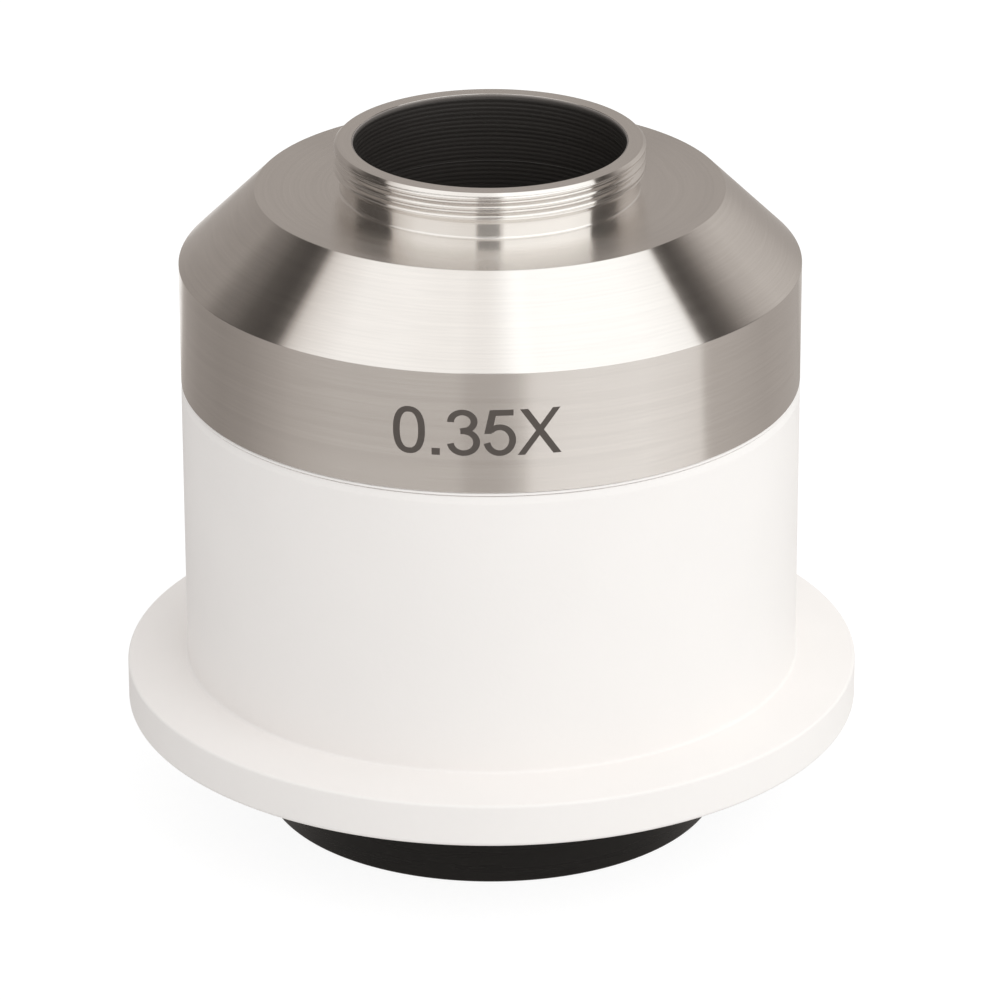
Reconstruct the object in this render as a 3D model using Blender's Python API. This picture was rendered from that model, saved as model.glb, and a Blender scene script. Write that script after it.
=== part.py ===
"""Microscope camera adapter with a 0.35 times reduction lens.

A white flanged body sits on the microscope's photo port. A silver head with the camera's thread
screws in the body, and carries a lens barrel that two guide screws keep from turning, so the
barrel only rises while the head turns.

Heights run along +Z, the optical axis, from the spigot's lower end. The photograph's front is -Y.
"""

import bmesh
import bpy
from math import cos, pi, radians, sin, sqrt
from mathutils import Matrix

MM = 0.001

# Facets round the outer pieces, the inner pieces and the small pieces.
OUTER_STEPS = 60
INNER_STEPS = 36
SMALL_STEPS = 16

# Clearances.
SEAT_GAP = 0.10 * MM
SEAM_GAP = 0.10 * MM
THREAD_CLEARANCE = 0.15 * MM
SLIDING_CLEARANCE = 0.20 * MM
GLASS_CLEARANCE = 0.20 * MM
CEMENT_GAP = 0.05 * MM
FLANGE_CLEARANCE = 0.30 * MM
BAFFLE_GAP = 1.00 * MM

# Length of the empties on the axis.
AXIS_SIZE = 10.0 * MM

# Port spigot.
SPIGOT_DIAMETER = 38.0 * MM
SPIGOT_LENGTH = 8.9 * MM
SPIGOT_WALL = 2.6 * MM
SPIGOT_CHAMFER = 0.2 * MM
STUB_STEP = 0.5 * MM
STUB_LENGTH = 5.6 * MM
STUB_RUN_OUT = 0.6 * MM

# Body shell.
BODY_HEIGHT = 28.45 * MM
SHELL_WALL = 2.55 * MM
RIM_ROUND = 0.4 * MM
FLANGE_DIAMETER = 61.0 * MM
FLANGE_RIM = 3.6 * MM
FLANGE_RISE = 0.55 * MM
FLANGE_CHAMFER = 0.25 * MM
FLANGE_FILLET = 0.3 * MM
FLOOR_THICKNESS = 7.0 * MM
BORE_CHAMFER = 0.5 * MM

# Camera head.
SKIRT_WALL = 1.8 * MM
SKIRT_LENGTH = 13.0 * MM
SHOULDER_DEPTH = 3.4 * MM
BAND_HEIGHT = 10.15 * MM
BAND_CHAMFER = 0.2 * MM
CONE_HEIGHT = 6.2 * MM
SEAT_DIAMETER = 38.4 * MM
TOP_PLATE = 5.0 * MM

# Camera thread: a one inch thread of 32 turns to the inch, 4 mm long with its run-out.
NECK_THREAD_DIAMETER = 25.4 * MM
NECK_HEIGHT = 4.0 * MM
NECK_THREAD_DEPTH = 0.5 * MM
NECK_RELIEF_HEIGHT = 1.3 * MM
NECK_CHAMFER = 0.25 * MM
NECK_FILLET = 0.2 * MM
NECK_RECESS = 0.1 * MM
NECK_WALL = 1.4 * MM
NECK_BORE_CHAMFER = 0.2 * MM

# Groove of the drag ring, a rubber ring on the skirt.
DRAG_GROOVE_WIDTH = 1.9 * MM
DRAG_GROOVE_DEPTH = 1.3 * MM
DRAG_GROOVE_DROP = 1.0 * MM

# Baffle tube.
BAFFLE_DIAMETER = 27.8 * MM
BAFFLE_ENTRY = 3.2 * MM
BAFFLE_FLANGE_DIAMETER = 32.0 * MM
BAFFLE_FLANGE = 1.5 * MM

# Lens barrel and what holds it in the head.
GLIDE_WASHER = 0.5 * MM
LEDGE_WIDTH = 1.6 * MM
BARREL_FLANGE_DIAMETER = 41.4 * MM
BARREL_FLANGE = 2.2 * MM
SPRING_HEIGHT = 0.9 * MM
SPRING_STRIP = 0.25 * MM
SPRING_WAVES = 4
HANGER_RING = 2.2 * MM
NOTCH_WIDTH = 1.6 * MM
NOTCH_DEPTH = 0.9 * MM
BARREL_WALL = 1.7 * MM
BARREL_NOSE = 5.0 * MM
BARREL_CHAMFER = 0.3 * MM
LIP_THICKNESS = 0.9 * MM

# Lens stack, from the top down: two cemented doublets, the flints facing each other.
LENS_DIAMETER = 24.0 * MM
LENS_SEAT_WIDTH = 1.1 * MM
OUTER_CURVE = 42.0 * MM
CEMENT_CURVE = 34.0 * MM
INNER_CURVE = 110.0 * MM
CROWN_EDGE = 0.96 * MM
FLINT_THICKNESS = 2.2 * MM
SPACER_LENGTH = 7.4 * MM
STOP_THICKNESS = 0.5 * MM
STOP_APERTURE = 16.8 * MM
RETAINER_HEIGHT = 2.0 * MM
RETAINER_RECESS = 1.0 * MM
LENS_STEPS = 3

# Guide screws and their bushes.
GUIDE_SHANK_DIAMETER = 1.6 * MM
GUIDE_HEAD_DIAMETER = 3.2 * MM
GUIDE_HEAD_HEIGHT = 1.3 * MM
GUIDE_SLOT_WIDTH = 0.5 * MM
GUIDE_SLOT_DEPTH = 0.6 * MM
BUSH_LENGTH = 2.8 * MM
BUSH_WALL = 0.4 * MM
FOCUS_TRAVEL = 1.5 * MM

# Heights that follow from the sizes above, from the bottom up.
flange_under = SPIGOT_LENGTH
floor_bottom = flange_under + STUB_LENGTH + STUB_RUN_OUT
floor_top = floor_bottom + FLOOR_THICKNESS
shell_top = flange_under + BODY_HEIGHT
head_shoulder = shell_top + SEAM_GAP
cone_foot = head_shoulder + BAND_HEIGHT
camera_seat = cone_foot + CONE_HEIGHT
neck_top = camera_seat + NECK_HEIGHT
ceiling = camera_seat - TOP_PLATE

# Heights of the pieces that hang in the head, from its inner shoulder down.
inner_shoulder = head_shoulder - SHOULDER_DEPTH
washer_top = inner_shoulder - SEAT_GAP
barrel_flange_top = washer_top - GLIDE_WASHER - SEAT_GAP
barrel_flange_bottom = barrel_flange_top - BARREL_FLANGE
spring_top = barrel_flange_bottom - SEAT_GAP
hanger_top = spring_top - SPRING_HEIGHT - SEAT_GAP
hanger_bottom = hanger_top - HANGER_RING
barrel_top = barrel_flange_top + BARREL_NOSE
baffle_top = ceiling + BAFFLE_ENTRY - SEAT_GAP
baffle_bottom = barrel_top + BAFFLE_GAP
bush_bottom = floor_top - BUSH_LENGTH

# Radii shared by neighbours, from the lenses out to the head and the body, which are flush.
clear_r = LENS_DIAMETER / 2 - LENS_SEAT_WIDTH
barrel_bore_r = LENS_DIAMETER / 2 + GLASS_CLEARANCE
barrel_r = barrel_bore_r + BARREL_WALL
guide_bore_r = barrel_r + SLIDING_CLEARANCE
barrel_flange_r = BARREL_FLANGE_DIAMETER / 2
skirt_bore_r = barrel_flange_r + FLANGE_CLEARANCE
skirt_r = skirt_bore_r + SKIRT_WALL
focus_bore_r = skirt_r + THREAD_CLEARANCE
body_r = focus_bore_r + SHELL_WALL
ledge_r = skirt_bore_r - LEDGE_WIDTH
cavity_r = ledge_r - SLIDING_CLEARANCE
ring_r = skirt_bore_r - SLIDING_CLEARANCE
bush_bore_r = GUIDE_SHANK_DIAMETER / 2 + SEAT_GAP
bush_r = bush_bore_r + BUSH_WALL
guide_radius = (barrel_r + ledge_r) / 2
spigot_r = SPIGOT_DIAMETER / 2
stub_r = spigot_r - STUB_STEP
stub_bore_r = stub_r + THREAD_CLEARANCE
thread_r = NECK_THREAD_DIAMETER / 2
neck_bore_r = thread_r - NECK_WALL


def sag(curve, r):
    """Depth of a spherical surface of radius curve, at distance r from its axis."""
    return curve - sqrt(curve * curve - r * r)


# Lens stack heights: each is the height of a glass surface on the axis, or of a ring's end.
crown_bulge = sag(OUTER_CURVE, LENS_DIAMETER / 2) + sag(CEMENT_CURVE, LENS_DIAMETER / 2)
crown_thickness = CROWN_EDGE + crown_bulge
rear_vertex = barrel_top - LIP_THICKNESS - SEAT_GAP + sag(OUTER_CURVE, clear_r)
rear_cement = rear_vertex - crown_thickness
rear_inner = rear_cement - CEMENT_GAP - FLINT_THICKNESS
spacer_top = rear_inner + sag(INNER_CURVE, clear_r) - SEAT_GAP
spacer_bottom = spacer_top - SPACER_LENGTH
stop_top = spacer_bottom - SEAT_GAP
stop_bottom = stop_top - STOP_THICKNESS
front_inner = stop_bottom - SEAT_GAP + sag(INNER_CURVE, STOP_APERTURE / 2)
front_cement = front_inner - FLINT_THICKNESS
front_vertex = front_cement - CEMENT_GAP - crown_thickness
retainer_top = front_vertex + sag(OUTER_CURVE, clear_r) - SEAT_GAP
retainer_bottom = retainer_top - RETAINER_HEIGHT
barrel_bottom = retainer_bottom - RETAINER_RECESS


def clear_scene():
    """Empty the scene."""
    for old in list(bpy.data.objects):
        bpy.data.objects.remove(old, do_unlink=True)


def finish(name, colour, metallic, roughness):
    """A material with a Principled shader of one colour."""
    material = bpy.data.materials.new(name)
    material.use_nodes = True
    shader = material.node_tree.nodes["Principled BSDF"]
    shader.inputs["Base Color"].default_value = (*colour, 1.0)
    shader.inputs["Metallic"].default_value = metallic
    shader.inputs["Roughness"].default_value = roughness
    return material


def glass(name, colour):
    """A clear glass."""
    material = finish(name, colour, 0.0, 0.02)
    shader = material.node_tree.nodes["Principled BSDF"]
    shader.inputs["Transmission Weight"].default_value = 1.0
    shader.inputs["IOR"].default_value = 1.52
    return material


def add_object(name, bm, material=None):
    """Turn a bmesh into a named object, round where it bends gently and sharp where it doesn't."""
    bmesh.ops.remove_doubles(bm, verts=bm.verts, dist=1e-7)
    bmesh.ops.recalc_face_normals(bm, faces=bm.faces)
    mesh = bpy.data.meshes.new(name)
    bm.to_mesh(mesh)
    bm.free()
    mesh.shade_smooth()
    mesh.set_sharp_from_angle(angle=radians(32))
    if material:
        mesh.materials.append(material)
    part = bpy.data.objects.new(name, mesh)
    bpy.context.scene.collection.objects.link(part)
    return part


def turned(name, outline, steps, material=None):
    """Turn an outline of (radius, height) points once round the Z axis.

    An outline that starts and ends on the axis is left open there, and any other is closed.
    """
    bm = bmesh.new()
    points = [bm.verts.new((r, 0.0, z)) for r, z in outline]
    on_axis = outline[0][0] == 0.0 and outline[-1][0] == 0.0
    ends = points[1:] if on_axis else points[1:] + points[:1]
    edges = [bm.edges.new(pair) for pair in zip(points, ends)]
    bmesh.ops.spin(bm, geom=points + edges, cent=(0, 0, 0), axis=(0, 0, 1),
                   angle=2 * pi, steps=steps, use_merge=True, use_duplicate=False)
    return add_object(name, bm, material)


def arc(centre, radius, start, end, steps):
    """Points of an arc in the outline's plane, angles in degrees from the +radius direction."""
    angles = [radians(start + (end - start) * k / steps) for k in range(steps + 1)]
    return [(centre[0] + radius * cos(a), centre[1] + radius * sin(a)) for a in angles]


def cut(part, cutter):
    """Cut one shape out of a part, and keep the cutter as a wire guide."""
    cutter.hide_render = True
    cutter.display_type = "WIRE"
    boolean = part.modifiers.new(cutter.name, "BOOLEAN")
    boolean.operation = "DIFFERENCE"
    boolean.object = cutter
    boolean.solver = "EXACT"


def block(name, low, high):
    """A box between two corners."""
    bm = bmesh.new()
    bmesh.ops.create_cube(bm, size=1.0)
    size = [b - a for a, b in zip(low, high)]
    middle = [(a + b) / 2 for a, b in zip(low, high)]
    bmesh.ops.scale(bm, vec=size, verts=bm.verts)
    bmesh.ops.translate(bm, vec=middle, verts=bm.verts)
    return add_object(name, bm)


def spanner_notches(ring, reach, bottom):
    """Cut the two spanner notches across the lower face of a threaded ring."""
    low = (-reach, -NOTCH_WIDTH / 2, bottom - NOTCH_DEPTH)
    high = (reach, NOTCH_WIDTH / 2, bottom + NOTCH_DEPTH)
    cut(ring, block(ring.name + "_notch_cutter", low, high))


def port_spigot(material):
    """Black ring that drops in the microscope's 38 mm port, with the stub that screws in the body."""
    bore_r = spigot_r - SPIGOT_WALL
    shoulder = flange_under - SEAT_GAP
    stub_top = flange_under + STUB_LENGTH
    outline = [
        (bore_r + SPIGOT_CHAMFER, 0.0),
        (spigot_r - SPIGOT_CHAMFER, 0.0),
        (spigot_r, SPIGOT_CHAMFER),
        (spigot_r, shoulder),
        (stub_r, shoulder),
        (stub_r, stub_top - SPIGOT_CHAMFER),
        (stub_r - SPIGOT_CHAMFER, stub_top),
        (bore_r, stub_top),
        (bore_r, SPIGOT_CHAMFER),
    ]
    return turned("port_spigot", outline, OUTER_STEPS, material)


def body_shell(material):
    """White flanged tube, turned from one piece, with a floor that guides the lens barrel."""
    flange_r = FLANGE_DIAMETER / 2
    rim_top = flange_under + FLANGE_RIM
    junction = rim_top + FLANGE_RISE
    outline = [
        (stub_bore_r + BORE_CHAMFER, flange_under),
        (flange_r - FLANGE_CHAMFER, flange_under),
        (flange_r, flange_under + FLANGE_CHAMFER),
        (flange_r, rim_top - FLANGE_CHAMFER / 2),
        (flange_r - FLANGE_CHAMFER / 2, rim_top),
        (body_r + FLANGE_FILLET, junction),
        (body_r, junction + FLANGE_FILLET),
        *arc((body_r - RIM_ROUND, shell_top - RIM_ROUND), RIM_ROUND, 0, 90, 3),
        (focus_bore_r + BORE_CHAMFER, shell_top),
        (focus_bore_r, shell_top - BORE_CHAMFER),
        (focus_bore_r, floor_top),
        (guide_bore_r, floor_top),
        (guide_bore_r, floor_bottom),
        (stub_bore_r, floor_bottom),
        (stub_bore_r, flange_under + BORE_CHAMFER),
    ]
    shell = turned("body_shell", outline, OUTER_STEPS, material)
    for side, x in guide_sides():
        cut(shell, guide_hole(side, x))
    return shell


def guide_sides():
    """Names and places across of the two guide screws."""
    return (("left", -guide_radius), ("right", guide_radius))


def guide_hole(side, x):
    """Cutter of a stepped hole in the floor: the bush's seat above, the screw head's room below."""
    pocket_r = GUIDE_HEAD_DIAMETER / 2 + SLIDING_CLEARANCE
    seat_r = bush_r + SEAT_GAP
    outline = [
        (0.0, floor_bottom - SLIDING_CLEARANCE),
        (pocket_r, floor_bottom - SLIDING_CLEARANCE),
        (pocket_r, bush_bottom - SEAT_GAP),
        (seat_r, bush_bottom - SEAT_GAP),
        (seat_r, floor_top + SLIDING_CLEARANCE),
        (0.0, floor_top + SLIDING_CLEARANCE),
    ]
    cutter = turned("guide_hole_" + side, outline, SMALL_STEPS)
    cutter.data.transform(Matrix.Translation((x, 0.0, 0.0)))
    return cutter


def guide_bush(side, x, material):
    """Bronze bush pressed in the floor, which a guide screw's shank slides in."""
    outline = [
        (bush_bore_r, bush_bottom),
        (bush_r, bush_bottom),
        (bush_r, floor_top),
        (bush_bore_r, floor_top),
    ]
    bush = turned("guide_bush_" + side, outline, SMALL_STEPS, material)
    bush.data.transform(Matrix.Translation((x, 0.0, 0.0)))
    return bush


def guide_screw(side, x, material):
    """Slotted screw in the barrel's flange. Its head meets the floor where the travel ends."""
    shank_r = GUIDE_SHANK_DIAMETER / 2
    head_r = GUIDE_HEAD_DIAMETER / 2
    head_top = bush_bottom - SEAT_GAP - FOCUS_TRAVEL - SEAT_GAP
    head_bottom = head_top - GUIDE_HEAD_HEIGHT
    outline = [
        (0.0, head_bottom),
        (head_r, head_bottom),
        (head_r, head_top),
        (shank_r, head_top),
        (shank_r, barrel_flange_top - SEAT_GAP),
        (0.0, barrel_flange_top - SEAT_GAP),
    ]
    screw = turned("guide_screw_" + side, outline, SMALL_STEPS, material)
    screw.data.transform(Matrix.Translation((x, 0.0, 0.0)))
    low = (x - head_r - GUIDE_SLOT_WIDTH, -GUIDE_SLOT_WIDTH / 2, head_bottom - GUIDE_SLOT_DEPTH)
    high = (x + head_r + GUIDE_SLOT_WIDTH, GUIDE_SLOT_WIDTH / 2, head_bottom + GUIDE_SLOT_DEPTH)
    cut(screw, block("guide_slot_" + side, low, high))
    return screw


def camera_head(material):
    """Silver head turned from one piece: threaded skirt, band, cone, camera seat and thread."""
    skirt_bottom = head_shoulder - SKIRT_LENGTH
    groove_r = skirt_r - DRAG_GROOVE_DEPTH
    groove_top = head_shoulder - DRAG_GROOVE_DROP
    relief_r = thread_r - NECK_THREAD_DEPTH
    recess_r = thread_r + THREAD_CLEARANCE
    relief_top = camera_seat + NECK_RELIEF_HEIGHT
    entry_r = BAFFLE_DIAMETER / 2 + SEAT_GAP
    outline = [
        (skirt_bore_r, skirt_bottom),
        (skirt_r - BORE_CHAMFER, skirt_bottom),
        (skirt_r, skirt_bottom + BORE_CHAMFER),
        (skirt_r, groove_top - DRAG_GROOVE_WIDTH),
        (groove_r, groove_top - DRAG_GROOVE_WIDTH),
        (groove_r, groove_top),
        (skirt_r, groove_top),
        (skirt_r, head_shoulder),
        (body_r - BAND_CHAMFER, head_shoulder),
        (body_r, head_shoulder + BAND_CHAMFER),
        (body_r, cone_foot),
        (SEAT_DIAMETER / 2, camera_seat),
        (recess_r, camera_seat),
        (recess_r, camera_seat - NECK_RECESS),
        (relief_r + NECK_FILLET, camera_seat - NECK_RECESS),
        (relief_r, camera_seat - NECK_RECESS + NECK_FILLET),
        (relief_r, relief_top),
        (thread_r, relief_top + NECK_THREAD_DEPTH),
        (thread_r, neck_top - NECK_CHAMFER),
        (thread_r - NECK_CHAMFER, neck_top),
        (neck_bore_r + NECK_BORE_CHAMFER, neck_top),
        (neck_bore_r, neck_top - NECK_BORE_CHAMFER),
        (neck_bore_r, ceiling + BAFFLE_ENTRY),
        (entry_r, ceiling + BAFFLE_ENTRY),
        (entry_r, ceiling),
        (cavity_r, ceiling),
        (cavity_r, inner_shoulder),
        (skirt_bore_r, inner_shoulder),
    ]
    return turned("camera_head", outline, OUTER_STEPS, material)


def drag_ring(material):
    """Rubber ring in the skirt's groove, which rubs on the body's bore and steadies the focus."""
    section_r = (DRAG_GROOVE_DEPTH + THREAD_CLEARANCE) / 2 - SEAT_GAP
    middle_r = skirt_r - DRAG_GROOVE_DEPTH + SEAT_GAP + section_r
    middle_z = head_shoulder - DRAG_GROOVE_DROP - DRAG_GROOVE_WIDTH / 2
    outline = arc((middle_r, middle_z), section_r, 0, 315, 7)
    return turned("drag_ring", outline, INNER_STEPS, material)


def baffle_tube(material):
    """Black tube under the camera's bore, which stops stray light."""
    tube_r = BAFFLE_DIAMETER / 2
    flange_r = BAFFLE_FLANGE_DIAMETER / 2
    flange_top = ceiling - SEAT_GAP
    outline = [
        (neck_bore_r, baffle_bottom),
        (tube_r, baffle_bottom),
        (tube_r, flange_top - BAFFLE_FLANGE),
        (flange_r, flange_top - BAFFLE_FLANGE),
        (flange_r, flange_top),
        (tube_r, flange_top),
        (tube_r, baffle_top),
        (neck_bore_r, baffle_top),
    ]
    return turned("baffle_tube", outline, INNER_STEPS, material)


def glide_washer(material):
    """Slippery washer between the head's inner shoulder and the barrel's flange."""
    outline = [
        (ledge_r, washer_top - GLIDE_WASHER),
        (ring_r, washer_top - GLIDE_WASHER),
        (ring_r, washer_top),
        (ledge_r, washer_top),
    ]
    return turned("glide_washer", outline, INNER_STEPS, material)


def wave_spring(material):
    """Flat steel ring bent in waves, which takes up the barrel's play in the head."""
    inner_r = ledge_r + SLIDING_CLEARANCE
    swing = (SPRING_HEIGHT - SPRING_STRIP) / 2
    middle = spring_top - SPRING_HEIGHT / 2
    bm = bmesh.new()
    rings = []
    for k in range(INNER_STEPS):
        turn = 2 * pi * k / INNER_STEPS
        height = middle + swing * cos(SPRING_WAVES * turn)
        corners = [(inner_r, -1), (ring_r, -1), (ring_r, 1), (inner_r, 1)]
        rings.append([
            bm.verts.new((r * cos(turn), r * sin(turn), height + side * SPRING_STRIP / 2))
            for r, side in corners
        ])
    for here, there in zip(rings, rings[1:] + rings[:1]):
        for k in range(4):
            bm.faces.new((here[k], there[k], there[k - 1], here[k - 1]))
    return add_object("wave_spring", bm, material)


def hanger_ring(material):
    """Threaded ring in the skirt that the barrel's flange hangs on."""
    hanger_r = skirt_bore_r - THREAD_CLEARANCE
    outline = [
        (ledge_r, hanger_bottom),
        (hanger_r, hanger_bottom),
        (hanger_r, hanger_top),
        (ledge_r, hanger_top),
    ]
    ring = turned("hanger_ring", outline, INNER_STEPS, material)
    spanner_notches(ring, skirt_bore_r, hanger_bottom)
    return ring


def lens_barrel(material):
    """Black tube with a flange that hangs in the head. The lenses are loaded from below."""
    lip_under = barrel_top - LIP_THICKNESS
    seat_drop = sag(OUTER_CURVE, LENS_DIAMETER / 2) - sag(OUTER_CURVE, clear_r)
    outline = [
        (barrel_bore_r + BARREL_CHAMFER, barrel_bottom),
        (barrel_r - BARREL_CHAMFER, barrel_bottom),
        (barrel_r, barrel_bottom + BARREL_CHAMFER),
        (barrel_r, barrel_flange_bottom),
        (barrel_flange_r, barrel_flange_bottom),
        (barrel_flange_r, barrel_flange_top),
        (barrel_r, barrel_flange_top),
        (barrel_r, barrel_top - BARREL_CHAMFER),
        (barrel_r - BARREL_CHAMFER, barrel_top),
        (clear_r + LIP_THICKNESS / 2, barrel_top),
        (clear_r, lip_under + LIP_THICKNESS / 2),
        (clear_r, lip_under),
        (barrel_bore_r, lip_under - seat_drop),
        (barrel_bore_r, barrel_bottom + BARREL_CHAMFER),
    ]
    barrel = turned("lens_barrel", outline, INNER_STEPS, material)
    hole_r = GUIDE_SHANK_DIAMETER / 2 + SEAT_GAP
    for side, x in guide_sides():
        hole = [
            (0.0, barrel_flange_bottom - SEAT_GAP),
            (hole_r, barrel_flange_bottom - SEAT_GAP),
            (hole_r, barrel_flange_top + SEAT_GAP),
            (0.0, barrel_flange_top + SEAT_GAP),
        ]
        cutter = turned("flange_hole_" + side, hole, SMALL_STEPS)
        cutter.data.transform(Matrix.Translation((x, 0.0, 0.0)))
        cut(barrel, cutter)
    return barrel


def lens(name, lower, upper, material):
    """Glass between two spherical surfaces. Each is (height on the axis, radius, bend).

    A bend of 1 turns the rim up from the middle, and -1 turns it down.
    """
    rim_r = LENS_DIAMETER / 2
    rings = [rim_r * k / LENS_STEPS for k in range(LENS_STEPS + 1)]

    def surface(height, curve, bend):
        return [(r, height + bend * sag(curve, r)) for r in rings]

    outline = surface(*lower) + surface(*upper)[::-1]
    return turned(name, outline, INNER_STEPS, material)


def spacer_tube(material):
    """Black tube that keeps the two doublets apart."""
    outer_r = barrel_bore_r - SEAT_GAP
    rise = sag(INNER_CURVE, outer_r) - sag(INNER_CURVE, clear_r)
    outline = [
        (clear_r, spacer_bottom),
        (outer_r, spacer_bottom),
        (outer_r, spacer_top + rise),
        (clear_r, spacer_top),
    ]
    return turned("spacer_tube", outline, INNER_STEPS, material)


def aperture_stop(material):
    """Thin black ring, bevelled at its hole, that limits the beam."""
    outer_r = barrel_bore_r - SEAT_GAP
    hole_r = STOP_APERTURE / 2
    outline = [
        (hole_r, stop_bottom),
        (outer_r, stop_bottom),
        (outer_r, stop_top),
        (hole_r + STOP_THICKNESS, stop_top),
    ]
    return turned("aperture_stop", outline, INNER_STEPS, material)


def front_retainer(material):
    """Threaded ring that holds the lens stack in the barrel, bevelled to the glass."""
    outer_r = barrel_bore_r - SEAT_GAP
    rise = sag(OUTER_CURVE, LENS_DIAMETER / 2) - sag(OUTER_CURVE, clear_r)
    outline = [
        (clear_r, retainer_bottom),
        (outer_r, retainer_bottom),
        (outer_r, retainer_top + rise),
        (clear_r, retainer_top),
    ]
    ring = turned("front_retainer", outline, INNER_STEPS, material)
    spanner_notches(ring, outer_r + SEAT_GAP, retainer_bottom)
    return ring


def axis_empty(name, parent=None):
    """An empty on the optical axis, which the pieces of one moving group hang on."""
    empty = bpy.data.objects.new(name, None)
    empty.empty_display_size = AXIS_SIZE
    bpy.context.scene.collection.objects.link(empty)
    empty.parent = parent
    return empty


def build():
    """Make every piece and hang it on the axis of the group that it moves with."""
    clear_scene()
    white = finish("white_paint", (0.90, 0.87, 0.85), 0.0, 0.35)
    silver = finish("satin_silver", (0.62, 0.59, 0.56), 1.0, 0.28)
    black = finish("black_anodised", (0.022, 0.020, 0.018), 0.2, 0.45)
    matt = finish("matt_black", (0.030, 0.028, 0.025), 0.0, 0.7)
    steel = finish("bright_steel", (0.55, 0.55, 0.54), 1.0, 0.3)
    bronze = finish("bronze", (0.55, 0.36, 0.16), 1.0, 0.4)
    rubber = finish("rubber", (0.02, 0.02, 0.02), 0.0, 0.6)
    plastic = finish("white_plastic", (0.75, 0.75, 0.72), 0.0, 0.4)
    crown = glass("crown_glass", (0.95, 0.98, 0.97))
    flint = glass("flint_glass", (0.97, 0.95, 0.90))

    port_axis = axis_empty("port_body_axis")
    barrel_axis = axis_empty("lens_barrel_axis", port_axis)
    head_axis = axis_empty("camera_head_axis", barrel_axis)

    groups = {
        port_axis: [
            body_shell(white),
            port_spigot(black),
            *[guide_bush(side, x, bronze) for side, x in guide_sides()],
        ],
        barrel_axis: [
            lens_barrel(matt),
            lens("rear_crown", (rear_cement, CEMENT_CURVE, 1), (rear_vertex, OUTER_CURVE, -1), crown),
            lens("rear_flint", (rear_inner, INNER_CURVE, 1),
                 (rear_cement - CEMENT_GAP, CEMENT_CURVE, 1), flint),
            spacer_tube(matt),
            aperture_stop(matt),
            lens("front_flint", (front_cement, CEMENT_CURVE, -1),
                 (front_inner, INNER_CURVE, -1), flint),
            lens("front_crown", (front_vertex, OUTER_CURVE, 1),
                 (front_cement - CEMENT_GAP, CEMENT_CURVE, -1), crown),
            front_retainer(matt),
            *[guide_screw(side, x, steel) for side, x in guide_sides()],
        ],
        head_axis: [
            camera_head(silver),
            drag_ring(rubber),
            baffle_tube(matt),
            glide_washer(plastic),
            wave_spring(steel),
            hanger_ring(black),
        ],
    }
    for axis, pieces in groups.items():
        for piece in pieces:
            piece.parent = axis


build()
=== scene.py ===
"""Looks of a microscope camera adapter: silver head, white body, black spigot and what is inside.

Every piece is a surface turned round the optical axis. Threads, ridges and waves are added to the
radius or the height as functions of the angle and the height.
"""

import math

import bpy
import numpy as np
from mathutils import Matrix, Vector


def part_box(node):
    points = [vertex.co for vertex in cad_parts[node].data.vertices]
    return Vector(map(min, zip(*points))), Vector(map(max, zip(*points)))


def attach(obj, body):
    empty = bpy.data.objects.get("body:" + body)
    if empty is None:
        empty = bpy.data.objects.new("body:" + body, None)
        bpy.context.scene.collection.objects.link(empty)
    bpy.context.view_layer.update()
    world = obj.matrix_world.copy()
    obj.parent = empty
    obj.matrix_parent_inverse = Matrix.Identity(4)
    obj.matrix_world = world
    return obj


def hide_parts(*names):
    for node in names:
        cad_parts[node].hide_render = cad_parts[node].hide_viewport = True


bl_info = {
    "name": "Microscope camera adapter",
    "version": (1, 0, 0),
    "blender": (4, 5, 0),
    "location": "View3D > Sidebar > Adapter",
    "description": "Builds the finished surfaces of a focusing microscope camera adapter",
    "category": "Add Mesh",
}

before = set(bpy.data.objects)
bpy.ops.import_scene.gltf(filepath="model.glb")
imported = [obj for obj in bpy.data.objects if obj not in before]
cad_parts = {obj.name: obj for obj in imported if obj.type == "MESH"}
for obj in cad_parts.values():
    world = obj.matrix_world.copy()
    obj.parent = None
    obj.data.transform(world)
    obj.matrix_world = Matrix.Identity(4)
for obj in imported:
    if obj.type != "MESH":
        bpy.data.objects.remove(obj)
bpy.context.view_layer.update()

MM = 0.001
TURN = 2 * math.pi

# Faces round a piece, by how closely it is seen.
FINE_STEPS = 320
PLAIN_STEPS = 192
SMALL_STEPS = 48

# Space between points that hold a flat face flat beside a rounded edge.
HOLD = 0.06 * MM

# Edges that are bent more than this stay sharp.
SHARP = math.radians(35)

# Spacing of the rows of faces along a thread, and how near to a wall's radius counts as on it.
THREAD_ROW = 0.07 * MM
SAME = 0.005 * MM

# Sizes inside the pieces, which the frame's boxes don't give. First what several pieces share: a
# broad chamfer, a thread's depth, and the clearance between pieces that seat on each other.
CHAMFER = 0.5 * MM
THREAD_DEPTH = 0.42 * MM
PLAY = 0.1 * MM

# Silver head, from the neck down
NECK_THREAD_R = 12.7 * MM
NECK_HEIGHT = 4.0 * MM
NECK_RELIEF_R = 12.2 * MM
NECK_RELIEF = 1.3 * MM
SEAT_R = 19.2 * MM
CONE_HEIGHT = 6.2 * MM
GROOVE_DROP = 1.0 * MM
GROOVE_WIDTH = 1.9 * MM
GROOVE_DEPTH = 1.3 * MM
SKIRT_R = 22.8 * MM
SKIRT_LENGTH = 13.0 * MM
SKIRT_BORE_R = 21.0 * MM
SHOULDER_DEPTH = 3.4 * MM
CAVITY_R = 19.2 * MM
TOP_PLATE = 5.0 * MM
MARK_RISE = 3.22 * MM

# Its black bore, and the baffle tube
NECK_BORE_R = 11.15 * MM
LINING = 0.1 * MM
BAFFLE_ENTRY = 3.2 * MM
BAFFLE_R = 13.9 * MM
BAFFLE_FLANGE = 1.5 * MM

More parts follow.
